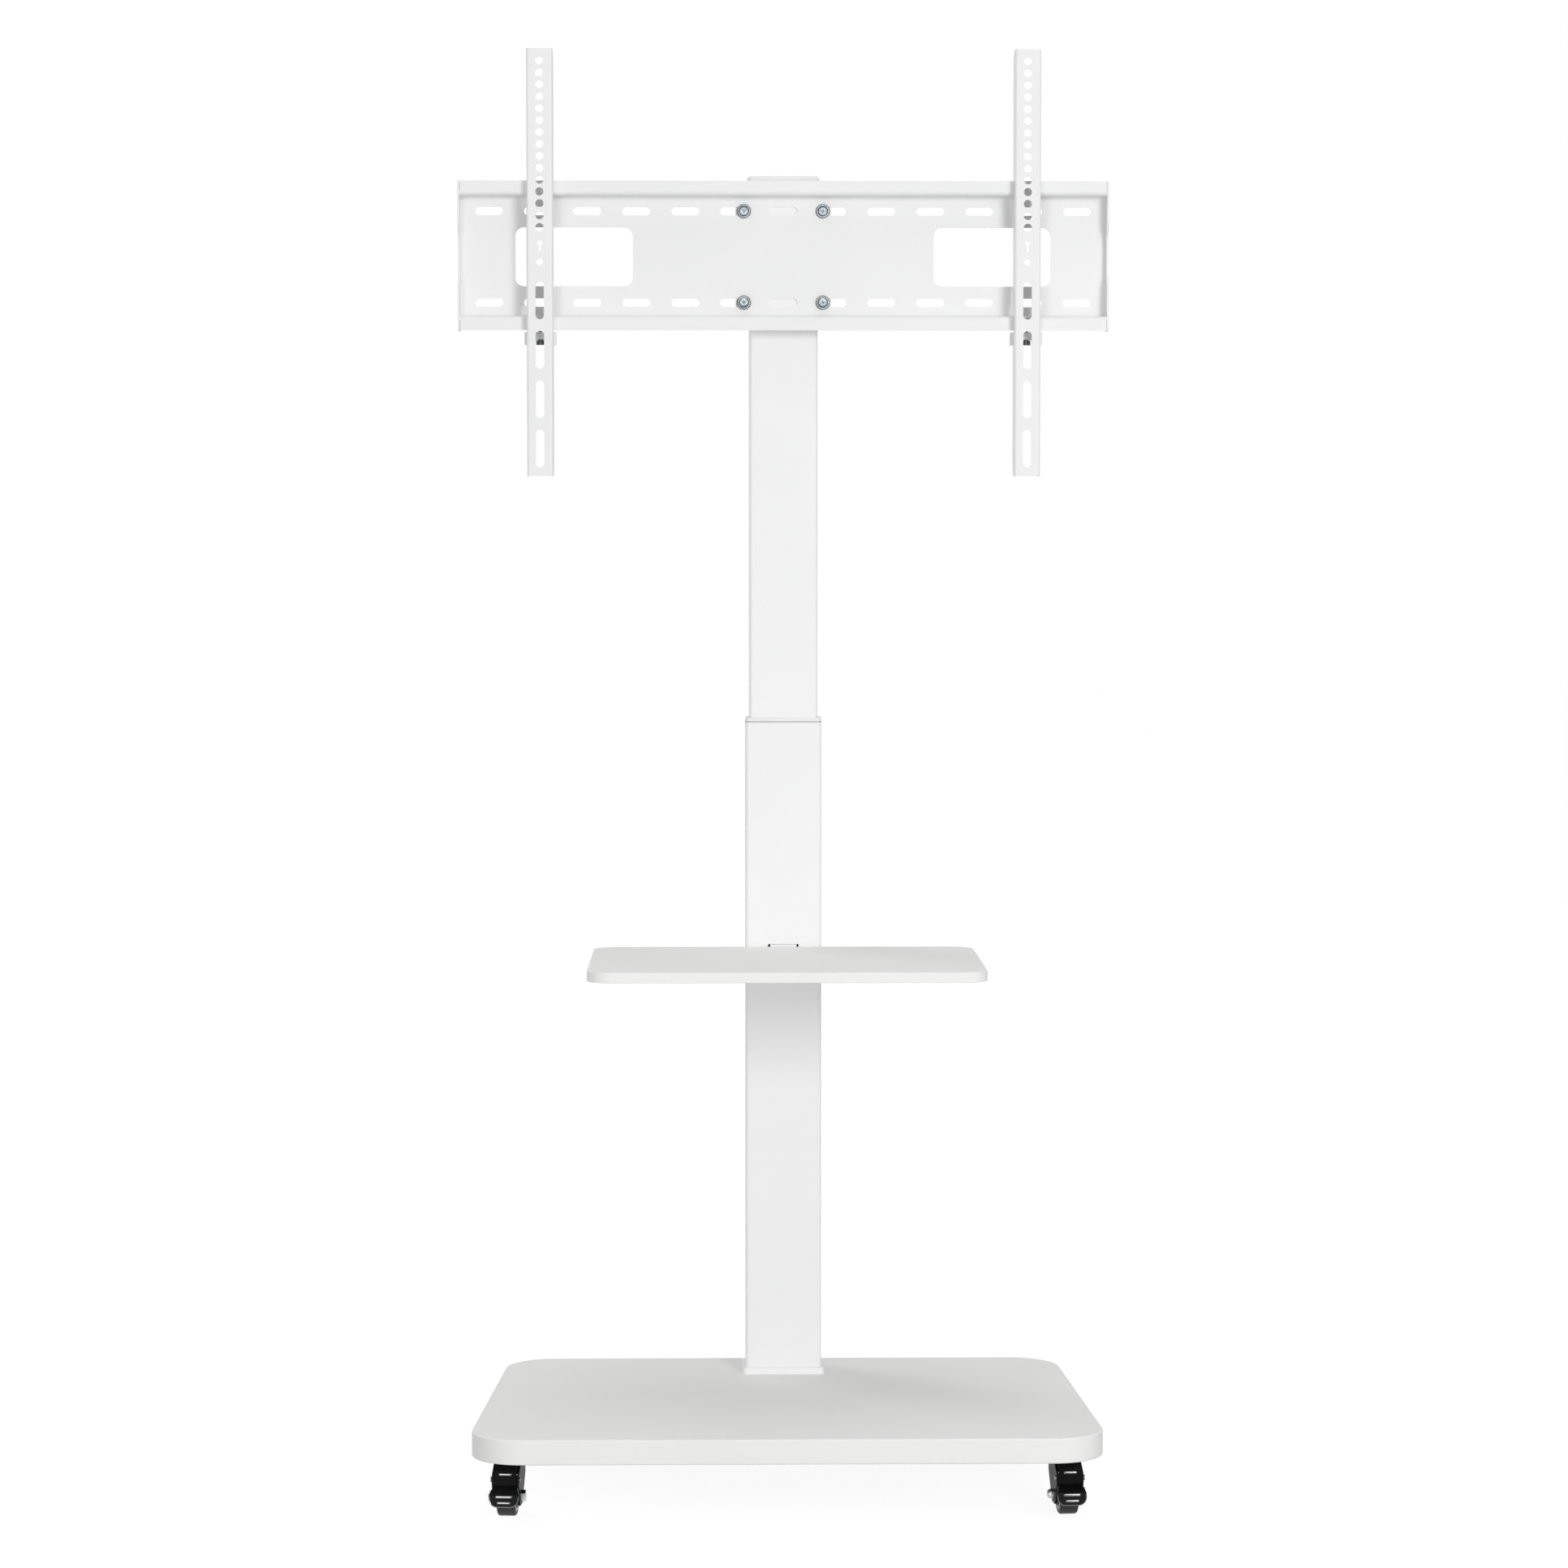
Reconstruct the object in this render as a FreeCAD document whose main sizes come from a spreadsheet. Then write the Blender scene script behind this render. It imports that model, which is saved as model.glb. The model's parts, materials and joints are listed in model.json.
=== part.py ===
import FreeCAD, Part
import math
import os
import Sketcher
from types import SimpleNamespace

# Driving sizes: millimetres, degrees and counts
sizes = {
    # Base board
    "base_front_width": 632,
    "base_rear_width": 586,
    "base_depth": 420,
    "base_thickness": 25,
    "base_corner_radius": 52,
    "base_edge_radius": 1.5,
    # Lower column and its foot
    "column_width": 80,
    "column_depth": 50,
    "column_wall": 1.5,
    "column_corner_radius": 4,
    "lower_column_length": 684.6,
    "column_rear_setback": 39,
    "foot_margin": 3.2,
    "foot_thickness": 7,
    "foot_corner_radius": 5,
    "foot_bolt_span_x": 50,
    "foot_bolt_span_y": 22,
    "stiffener_width": 200,
    "stiffener_depth": 110,
    "stiffener_thickness": 3,
    "stiffener_corner_radius": 8,
    # Collar and upper column
    "collar_rim": 4,
    "collar_skirt": 28,
    "telescope_gap": 2.5,
    "upper_column_length": 740,
    "glide_flange": 6,
    "glide_plug": 18,
    "glide_relief_width": 54,
    "cap_margin": 2,
    "cap_height": 7,
    "cap_top_radius": 4,
    "cap_plug": 16,
    # Height setting
    "height_hole_pitch": 50,
    "height_hole_count": 8,
    "height_hole_inset": 90.6,
    "height_bolt_drop": 36,
    "strip_width": 26,
    "strip_thickness": 4,
    "strip_margin": 20,
    # Head plate
    "head_bolt_inset": 8.8,
    "head_height": 130,
    "head_thickness": 4,
    "head_corner_radius": 6,
    "head_drop": 77.6,
    "head_nut_gap": 0.2,
    # Wall plate
    "plate_width": 678,
    "plate_height": 154.6,
    "plate_depth": 22,
    "plate_sheet": 2,
    "plate_bend_radius": 2.5,
    "lip_height": 15,
    "slot_row_span": 95,
    "slot_bolt_offset": 10,
    "slot_end_margin": 14,
    "slot_length": 29.4,
    "slot_width": 8.9,
    "window_width": 122.6,
    "window_height": 61.3,
    "window_radius": 9,
    "window_end_inset": 59.3,
    "scallop_height": 40,
    "scallop_depth": 9,
    "scallop_slope": 12,
    "scallop_radius": 10,
    "end_relief": 0.8,
    # TV arms
    "arm_span": 506,
    "arm_width": 27,
    "arm_length": 440.5,
    "arm_depth": 26,
    "arm_sheet": 2,
    "arm_bend_radius": 2.6,
    "arm_below_plate": 151.5,
    "arm_standoff": 15,
    "arm_end_chamfer": 9,
    "arm_hole_diameter": 8.5,
    "arm_hole_pitch": 12.25,
    "arm_hole_count": 15,
    "arm_hole_inset": 12.3,
    "arm_slot_length": 39,
    "arm_slot_width": 8.9,
    "arm_slot_pitch": 51,
    "arm_slot_count": 4,
    "arm_slot_inset": 28.3,
    "arm_centre_hole_diameter": 7.3,
    "arm_centre_hole_height": 221.1,
    "keyhole_diameter": 5.6,
    "keyhole_height": 240.5,
    "keyhole_neck_width": 2.8,
    "keyhole_neck_length": 7,
    "hook_depth": 10.5,
    "hook_lift": 13,
    # Lock bracket and safety screw
    "lock_width": 33,
    "lock_height": 13,
    "lock_drop": 2,
    "lock_depth": 13,
    "lock_sheet": 2,
    "lock_relief_width": 14,
    "lock_relief_height": 5.5,
    "safety_screw_diameter": 5,
    "safety_screw_reach": 5,
    "safety_head_diameter": 9.4,
    "safety_head_height": 4.6,
    # Shelf
    "shelf_width": 398,
    "shelf_depth": 280,
    "shelf_thickness": 10.4,
    "shelf_corner_radius": 25,
    "shelf_edge_radius": 0.8,
    "shelf_height": 539.3,
    "tongue_width": 27.6,
    "tongue_rise": 2.3,
    "tongue_drop": 7,
    "tongue_slot_margin": 2.2,
    "tongue_slot_height": 11,
    "bracket_width": 96,
    "bracket_depth": 150,
    "bracket_sheet": 1.6,
    "bracket_flange_rear": 20,
    "bracket_flange_front": 7,
    "bracket_back_width": 66,
    "bracket_back_height": 26,
    "bracket_bolt_span": 38,
    "bracket_bolt_drop": 14,
    "bracket_screw_span_x": 64,
    "bracket_screw_span_y": 90,
    "shelf_screw_bite": 7,
    # Casters
    "caster_height": 60,
    "caster_inset_side": 40,
    "caster_inset_end": 64,
    "caster_splay": 5,
    "caster_plate_width": 42,
    "caster_plate_depth": 50,
    "caster_plate_thickness": 2.5,
    "caster_plate_radius": 5,
    "caster_screw_span_x": 31,
    "caster_screw_span_y": 39,
    "caster_screw_bite": 15,
    "race_height": 3.9,
    "race_radius": 12.4,
    "race_wall": 1.5,
    "ball_diameter": 3.2,
    "ball_count": 10,
    "kingpin_diameter": 8,
    "kingpin_head_diameter": 13,
    "kingpin_head_height": 2,
    "fork_radius": 17,
    "fork_sheet": 2,
    "fork_inner_width": 23,
    "fork_rear": 14,
    "fork_rear_height": 38,
    "fork_foot": 9,
    "fork_corner_radius": 4,
    "fork_front": 18,
    "fork_brow_height": 10,
    "wheel_trail": 16,
    "wheel_diameter": 40,
    "wheel_width": 18.5,
    "tyre_thickness": 4.5,
    "tyre_radius": 2.5,
    "hub_boss_diameter": 13,
    "hub_recess": 3,
    "hub_wall": 3,
    "axle_diameter": 6,
    "axle_nut_across": 10,
    "axle_nut_height": 4.4,
    "axle_cap_diameter": 9.6,
    "axle_cap_height": 6.4,
    "axle_cap_radius": 3.6,
    # Brake pedals
    "pedal_pin_ahead": 15.5,
    "pedal_pin_above": 19,
    "pedal_pin_diameter": 4,
    "pedal_pin_head_diameter": 5.4,
    "pedal_pin_head_height": 1.4,
    "pedal_boss_diameter": 7.4,
    "pedal_width": 29,
    "pedal_sheet": 2.2,
    "pedal_reach": 16.5,
    "pedal_drop": 23.8,
    "pedal_knee_reach": 9.5,
    "pedal_knee_drop": 10,
    "pedal_shin_reach": 14.5,
    "pedal_shin_drop": 11.8,
    "pedal_hood_drop": 7.5,
    "pedal_taper": 2.8,
    "pedal_neck": 5.2,
    "pedal_bend_radius": 5,
    "pedal_corner_radius": 8,
    "pedal_tab_rise": 15,
    "pedal_tab_drop": 5.5,
    "pedal_tab_lean": 3,
    "pedal_rib_width": 17,
    "pedal_rib_height": 1,
    "pedal_rib_length": 2.6,
    "pedal_hood_rib_rise": 4.8,
    # Fasteners
    "bolt_diameter": 8,
    "bolt_head_across": 13,
    "bolt_head_height": 5.3,
    "washer_diameter": 16,
    "washer_thickness": 1.6,
    "pan_washer_diameter": 14.4,
    "pan_head_diameter": 10.8,
    "pan_head_height": 4.2,
    "pan_head_crown": 1.6,
    "cross_length": 5.8,
    "cross_width": 1.6,
    "cross_depth": 1.8,
    "small_bolt_diameter": 6,
    "small_nut_across": 10,
    "small_nut_height": 5,
    "small_head_diameter": 11,
    "small_head_height": 3,
    "wood_screw_diameter": 3.6,
    "wood_screw_head_diameter": 7,
    "wood_screw_head_height": 2.2,
    # Fits
    "bolt_clearance": 0.4,
    "thread_clearance": 0.06,
    "running_fit": 0.08,
    "slide_gap": 0.3,
    "cut_overrun": 5,
}
hex_corner_share = 0.57735
crown_share = 0.6
neck_share = 0.7
rib_place_shares = (0.07, 0.55)
rib_width_shares = (1, 0.8)
hood_rib_share = 0.76
edge_tolerance = 0.01

doc = FreeCAD.newDocument("tv_stand")
sheet = doc.addObject("Spreadsheet::Sheet", "dims")
for row, (alias, number) in enumerate(sizes.items(), start=1):
    sheet.set(f"A{row}", alias)
    sheet.set(f"B{row}", str(number))
    sheet.setAlias(f"B{row}", alias)
doc.recompute()


# A number together with the sheet expression that gives it
class Size:
    def __init__(self, number, text):
        self.number = number
        self.text = text

    def __add__(self, other):
        other = as_size(other)
        return Size(self.number + other.number, f"({self.text} + {other.text})")

    def __sub__(self, other):
        other = as_size(other)
        return Size(self.number - other.number, f"({self.text} - {other.text})")

    def __mul__(self, other):
        other = as_size(other)
        return Size(self.number * other.number, f"({self.text} * {other.text})")

    def __truediv__(self, other):
        other = as_size(other)
        return Size(self.number / other.number, f"({self.text} / {other.text})")

    def __neg__(self):
        return Size(-self.number, f"(0 - {self.text})")

    def __rsub__(self, other):
        return as_size(other) - self

    def whole(self):
        return Size(math.floor(self.number), f"floor({self.text})")


def as_size(item):
    if isinstance(item, Size):
        return item
    return Size(item, str(item))


d = SimpleNamespace(**{alias: Size(number, f"dims.{alias}") for alias, number in sizes.items()})

# Places shared by several pieces
base_top = d.caster_height + d.base_thickness
column_y = d.base_depth / 2 - d.column_rear_setback - d.column_depth / 2
column_front = column_y - d.column_depth / 2
column_rear = column_y + d.column_depth / 2
column_bottom = base_top + d.foot_thickness
column_top = column_bottom + d.lower_column_length
upper_width = d.column_width - (d.column_wall + d.telescope_gap) * 2
upper_depth = d.column_depth - (d.column_wall + d.telescope_gap) * 2
mast_bottom = column_top - d.height_bolt_drop - d.height_hole_pitch - d.height_hole_inset
mast_top = mast_bottom + d.upper_column_length
mast_front = column_y - upper_depth / 2
mast_rear = column_y + upper_depth / 2
head_z = mast_top - d.head_drop
head_front = mast_front - d.head_thickness
web_front = head_front - d.plate_sheet
lip_front = head_front - d.plate_depth
head_bolt_span_x = upper_width + d.small_nut_across + d.head_nut_gap * 2
slot_pitch = head_bolt_span_x / 2 + d.slot_bolt_offset
slot_steps = ((d.plate_width / 2 - d.slot_end_margin - d.slot_length / 2) / slot_pitch).whole()
window_x = d.plate_width / 2 - d.window_end_inset - d.window_width / 2
plate_bottom = head_z - d.plate_height / 2
arm_front = lip_front - d.arm_standoff
arm_bottom = plate_bottom - d.arm_below_plate
lock_top = plate_bottom - d.lock_drop
lock_bottom = lock_top - d.lock_height
shelf_bottom = d.shelf_height - d.shelf_thickness
bolt_hole_radius = d.bolt_diameter / 2 + d.bolt_clearance
bolt_thread_radius = d.bolt_diameter / 2 + d.thread_clearance
small_hole_radius = d.small_bolt_diameter / 2 + d.bolt_clearance
small_thread_radius = d.small_bolt_diameter / 2 + d.thread_clearance
pilot_radius = d.wood_screw_diameter / 2 + d.thread_clearance
wheel_radius = d.wheel_diameter / 2
fork_top = d.caster_height - d.caster_plate_thickness - d.race_height

sideways = FreeCAD.Vector(1, 0, 0)
to_rear = FreeCAD.Rotation(sideways, -90)
to_front = FreeCAD.Rotation(sideways, 90)
nodes = []


# Binding and placing
def bind(item, path, size):
    item.setExpression(path, as_size(size).text)


def place(item, x, y, z, turn=None):
    if turn is not None:
        item.Placement = FreeCAD.Placement(FreeCAD.Vector(), turn)
    for letter, size in zip("xyz", (x, y, z)):
        bind(item, f"Placement.Base.{letter}", size)


def new_body(label, is_node=True):
    body = doc.addObject("PartDesign::Body", label)
    body.Label = label
    if is_node:
        nodes.append(body)
    return body


def group(label, items):
    item = doc.addObject("Part::Compound", label)
    item.Label = label
    item.Links = items
    nodes.append(item)


# Sketch loops: a list of points, a circle or a slot
def circle(x, y, radius):
    return SimpleNamespace(kind="circle", x=as_size(x), y=as_size(y), radius=radius)


def slot(x, y, length, width, upright_slot):
    return SimpleNamespace(
        kind="slot",
        x=as_size(x),
        y=as_size(y),
        half=(length - width) / 2,
        radius=width / 2,
        upright=upright_slot,
    )


def box(width, height, x=0, y=0):
    x = as_size(x)
    y = as_size(y)
    return [
        (x - width / 2, y - height / 2),
        (x + width / 2, y - height / 2),
        (x + width / 2, y + height / 2),
        (x - width / 2, y + height / 2),
    ]


def corners_of(span_x, span_y, radius, x=0, y=0):
    return [circle(px, py, radius) for px, py in box(span_x, span_y, x, y)]


def hexagon(across):
    corner = across * hex_corner_share
    half = across / 2
    return [
        (half, -corner / 2),
        (half, corner / 2),
        (0, corner),
        (-half, corner / 2),
        (-half, -corner / 2),
        (0, -corner),
    ]


def vector(x, y):
    return FreeCAD.Vector(as_size(x).number, as_size(y).number, 0)


def hold(item, rule, size):
    index = item.addConstraint(rule)
    item.setExpression(f"Constraints[{index}]", size.text)


def hold_point(item, geometry, end, x, y):
    for kind, axis, size in (("DistanceX", -2, as_size(x)), ("DistanceY", -1, as_size(y))):
        if size.text == "0":
            item.addConstraint(Sketcher.Constraint("PointOnObject", geometry, end, axis))
        else:
            hold(item, Sketcher.Constraint(kind, -1, 1, geometry, end, size.number), size)


def draw_polygon(item, points):
    first = item.GeometryCount
    count = len(points)
    for index in range(count):
        start = vector(*points[index])
        item.addGeometry(Part.LineSegment(start, vector(*points[(index + 1) % count])))
    for index in range(count):
        follower = first + (index + 1) % count
        item.addConstraint(Sketcher.Constraint("Coincident", first + index, 2, follower, 1))
    for index in range(count):
        hold_point(item, first + index, 1, *points[index])


def draw_circle(item, loop):
    index = item.addGeometry(Part.Circle(vector(loop.x, loop.y), FreeCAD.Vector(0, 0, 1), loop.radius.number))
    hold_point(item, index, 3, loop.x, loop.y)
    hold(item, Sketcher.Constraint("Radius", index, loop.radius.number), loop.radius)


def draw_slot(item, loop):
    along = (0, loop.half) if loop.upright else (loop.half, 0)
    across = (loop.radius, 0) if loop.upright else (0, -loop.radius)
    ends = [(loop.x + along[0], loop.y + along[1]), (loop.x - along[0], loop.y - along[1])]
    far = vector(*ends[0])
    near = vector(*ends[1])
    side = vector(*across)
    reach = vector(*along).normalize() * loop.radius.number
    first = item.GeometryCount
    item.addGeometry(Part.LineSegment(near + side, far + side))
    item.addGeometry(Part.Arc(far + side, far + reach, far - side))
    item.addGeometry(Part.LineSegment(far - side, near - side))
    item.addGeometry(Part.Arc(near - side, near - reach, near + side))
    for index in range(4):
        following = first + (index + 1) % 4
        item.addConstraint(Sketcher.Constraint("Tangent", first + index, 2, following, 1))
    item.addConstraint(Sketcher.Constraint("Equal", first + 1, first + 3))
    hold_point(item, first + 1, 3, *ends[0])
    hold_point(item, first + 3, 3, *ends[1])
    hold(item, Sketcher.Constraint("Radius", first + 1, loop.radius.number), loop.radius)


def origin_item(body, role):
    return next(item for item in body.Origin.OriginFeatures if item.Role == role)


def sketch(body, plane, loops, lift=None, shift=None):
    item = body.newObject("Sketcher::SketchObject", f"{body.Label}_sketch")
    item.AttachmentSupport = [(origin_item(body, f"{plane}_Plane"), "")]
    item.MapMode = "FlatFace"
    if lift is not None:
        bind(item, "AttachmentOffset.Base.z", lift)
    if shift is not None:
        bind(item, "AttachmentOffset.Base.x", shift[0])
        bind(item, "AttachmentOffset.Base.y", shift[1])
    for loop in loops:
        if isinstance(loop, list):
            draw_polygon(item, loop)
        elif loop.kind == "circle":
            draw_circle(item, loop)
        else:
            draw_slot(item, loop)
    return item


# Features
def pad(body, profile, length, symmetric=False, back=False):
    item = body.newObject("PartDesign::Pad", f"{body.Label}_pad")
    item.Profile = profile
    bind(item, "Length", length)
    item.SideType = "Symmetric" if symmetric else "One side"
    item.Reversed = back
    doc.recompute()
    return item


def pocket(body, profile, length=None, symmetric=False, back=False):
    item = body.newObject("PartDesign::Pocket", f"{body.Label}_pocket")
    item.Profile = profile
    if length is None:
        item.Type = "ThroughAll"
    else:
        bind(item, "Length", length)
    item.SideType = "Symmetric" if symmetric else "One side"
    item.Reversed = back
    doc.recompute()
    return item


def turned(body, profile, axis):
    item = body.newObject("PartDesign::Revolution", f"{body.Label}_turned")
    item.Profile = profile
    item.ReferenceAxis = (profile, [axis])
    doc.recompute()
    return item


def repeat(body, feature, axis, pitch, count):
    item = body.newObject("PartDesign::LinearPattern", f"{body.Label}_row")
    item.Originals = [feature]
    item.Direction = (origin_item(body, f"{axis}_Axis"), [""])
    bind(item, "Length", pitch * (count - 1))
    bind(item, "Occurrences", count)
    body.Tip = item
    doc.recompute()
    return item


def edges_along(feature, axis, spots=None):
    names = []
    for index, edge in enumerate(feature.Shape.Edges, start=1):
        if not isinstance(edge.Curve, Part.Line):
            continue
        run = edge.Curve.Direction
        if abs(abs(getattr(run, axis)) - 1) > edge_tolerance:
            continue
        middle = edge.CenterOfMass
        if spots is None or any(is_at(middle, spot) for spot in spots):
            names.append(f"Edge{index}")
    return names


def is_at(point, spot):
    offsets = [getattr(point, letter) - as_size(size).number for letter, size in spot.items()]
    return all(abs(offset) < edge_tolerance for offset in offsets)


def edges_at_level(feature, level):
    names = []
    for index, edge in enumerate(feature.Shape.Edges, start=1):
        heights = [vertex.Z for vertex in edge.Vertexes]
        if all(abs(height - as_size(level).number) < edge_tolerance for height in heights):
            names.append(f"Edge{index}")
    return names


def fillet(body, feature, names, radius):
    item = body.newObject("PartDesign::Fillet", f"{body.Label}_fillet")
    item.Base = (feature, names)
    bind(item, "Radius", radius)
    doc.recompute()
    return item


def chamfer(body, feature, names, length):
    item = body.newObject("PartDesign::Chamfer", f"{body.Label}_chamfer")
    item.Base = (feature, names)
    bind(item, "Size", length)
    doc.recompute()
    return item


def box_spots(width, height, first="x", second="y", centre=0):
    return [{first: px, second: py} for px, py in box(width, height, 0, centre)]


# Fasteners, head below and shank along local +Z
def hex_bolt(label, diameter, length, across, head_height):
    body = new_body(label, False)
    pad(body, sketch(body, "XY", [hexagon(across)]), head_height, back=True)
    pad(body, sketch(body, "XY", [circle(0, 0, diameter / 2)]), length)
    return body


def pan_bolt(label, diameter, length, head_diameter, head_height):
    body = new_body(label, False)
    half = head_diameter / 2
    profile = [
        (0, -head_height),
        (half * crown_share, -head_height),
        (half, d.pan_head_crown - head_height),
        (half, 0),
        (diameter / 2, 0),
        (diameter / 2, length),
        (0, length),
    ]
    turned(body, sketch(body, "XZ", [profile]), "V_Axis")
    for loop in (box(d.cross_length, d.cross_width), box(d.cross_width, d.cross_length)):
        pocket(body, sketch(body, "XY", [loop], -head_height), d.cross_depth, back=True)
    return body


def wood_screw(label, length):
    body = new_body(label, False)
    profile = [
        (0, -d.wood_screw_head_height),
        (d.wood_screw_head_diameter / 2 * crown_share, -d.wood_screw_head_height),
        (d.wood_screw_head_diameter / 2, 0),
        (d.wood_screw_diameter / 2, 0),
        (d.wood_screw_diameter / 2, length - d.wood_screw_diameter),
        (0, length),
    ]
    turned(body, sketch(body, "XZ", [profile]), "V_Axis")
    return body


def washer(label, diameter, radius):
    body = new_body(label, False)
    rings = [circle(0, 0, diameter / 2), circle(0, 0, radius)]
    pad(body, sketch(body, "XY", rings), d.washer_thickness)
    return body


def nut(label, across, height, radius):
    body = new_body(label, False)
    pad(body, sketch(body, "XY", [hexagon(across), circle(0, 0, radius)]), height)
    return body


# Four casters, named by corner, with the swivel axis and the way each is turned
caster_y = d.base_depth / 2 - d.caster_inset_end
corners = []
ends = (("front", d.base_front_width, -1, True), ("rear", d.base_rear_width, 1, False))
for end, width, side_y, braked in ends:
    for side, sign in (("left", -1), ("right", 1)):
        corners.append(
            SimpleNamespace(
                name=f"{end}_{side}",
                x=(width / 2 - d.caster_inset_side) * sign,
                y=caster_y * side_y,
                turn=FreeCAD.Vector(0, 0, sign),
                braked=braked,
            )
        )


def place_caster(body, corner):
    body.Placement = FreeCAD.Placement(FreeCAD.Vector(), FreeCAD.Rotation(corner.turn, sizes["caster_splay"]))
    bind(body, "Placement.Rotation.Angle", d.caster_splay)
    bind(body, "Placement.Base.x", corner.x)
    bind(body, "Placement.Base.y", corner.y)


# Base board with its bolt and pilot holes
def make_base():
    body = new_body("base_board")
    half_depth = d.base_depth / 2
    outline = [
        (-d.base_front_width / 2, -half_depth),
        (d.base_front_width / 2, -half_depth),
        (d.base_rear_width / 2, half_depth),
        (-d.base_rear_width / 2, half_depth),
    ]
    board = pad(body, sketch(body, "XY", [outline]), d.base_thickness)
    board = fillet(body, board, edges_along(board, "z"), d.base_corner_radius)
    rims = edges_at_level(board, d.base_thickness) + edges_at_level(board, 0)
    fillet(body, board, rims, d.base_edge_radius)
    foot_holes = corners_of(d.foot_bolt_span_x, d.foot_bolt_span_y, bolt_hole_radius, 0, column_y)
    pocket(body, sketch(body, "XY", foot_holes), symmetric=True)
    pilots = []
    for corner in corners:
        pilots += corners_of(d.caster_screw_span_x, d.caster_screw_span_y, pilot_radius, corner.x, corner.y)
    pocket(body, sketch(body, "XY", pilots), d.caster_screw_bite + d.slide_gap, back=True)
    place(body, 0, 0, d.caster_height)


def make_foot():
    plate = new_body("base_stiffener")
    holes = corners_of(d.foot_bolt_span_x, d.foot_bolt_span_y, bolt_hole_radius)
    sheet_pad = pad(plate, sketch(plate, "XY", [box(d.stiffener_width, d.stiffener_depth)] + holes),
                    d.stiffener_thickness)
    spots = box_spots(d.stiffener_width, d.stiffener_depth)
    fillet(plate, sheet_pad, edges_along(sheet_pad, "z", spots), d.stiffener_corner_radius)
    place(plate, 0, column_y, d.caster_height - d.stiffener_thickness)

    foot = new_body("column_foot")
    width = d.column_width + d.foot_margin * 2
    depth = d.column_depth + d.foot_margin * 2
    threads = corners_of(d.foot_bolt_span_x, d.foot_bolt_span_y, bolt_thread_radius)
    block = pad(foot, sketch(foot, "XY", [box(width, depth)] + threads), d.foot_thickness)
    fillet(foot, block, edges_along(block, "z", box_spots(width, depth)), d.foot_corner_radius)
    place(foot, 0, column_y, base_top)

    bolts = []
    washers = []
    under = d.caster_height - d.stiffener_thickness
    length = d.washer_thickness + d.stiffener_thickness + d.base_thickness + d.foot_thickness
    for x, y in box(d.foot_bolt_span_x, d.foot_bolt_span_y, 0, column_y):
        ring = washer("base_washer", d.washer_diameter, bolt_hole_radius)
        place(ring, x, y, under - d.washer_thickness)
        washers.append(ring)
        bolt = hex_bolt("base_bolt", d.bolt_diameter, length, d.bolt_head_across, d.bolt_head_height)
        place(bolt, x, y, under - d.washer_thickness)
        bolts.append(bolt)
    group("base_bolts", bolts)
    group("base_washers", washers)


# Rectangular tube along local +Z
def tube(label, width, depth, wall, radius, length):
    body = new_body(label)
    inner_width = width - wall * 2
    inner_depth = depth - wall * 2
    wall_pad = pad(body, sketch(body, "XY", [box(width, depth), box(inner_width, inner_depth)]), length)
    outside = fillet(body, wall_pad, edges_along(wall_pad, "z", box_spots(width, depth)), radius)
    fillet(body, outside, edges_along(outside, "z", box_spots(inner_width, inner_depth)), radius - wall)
    return body


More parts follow.
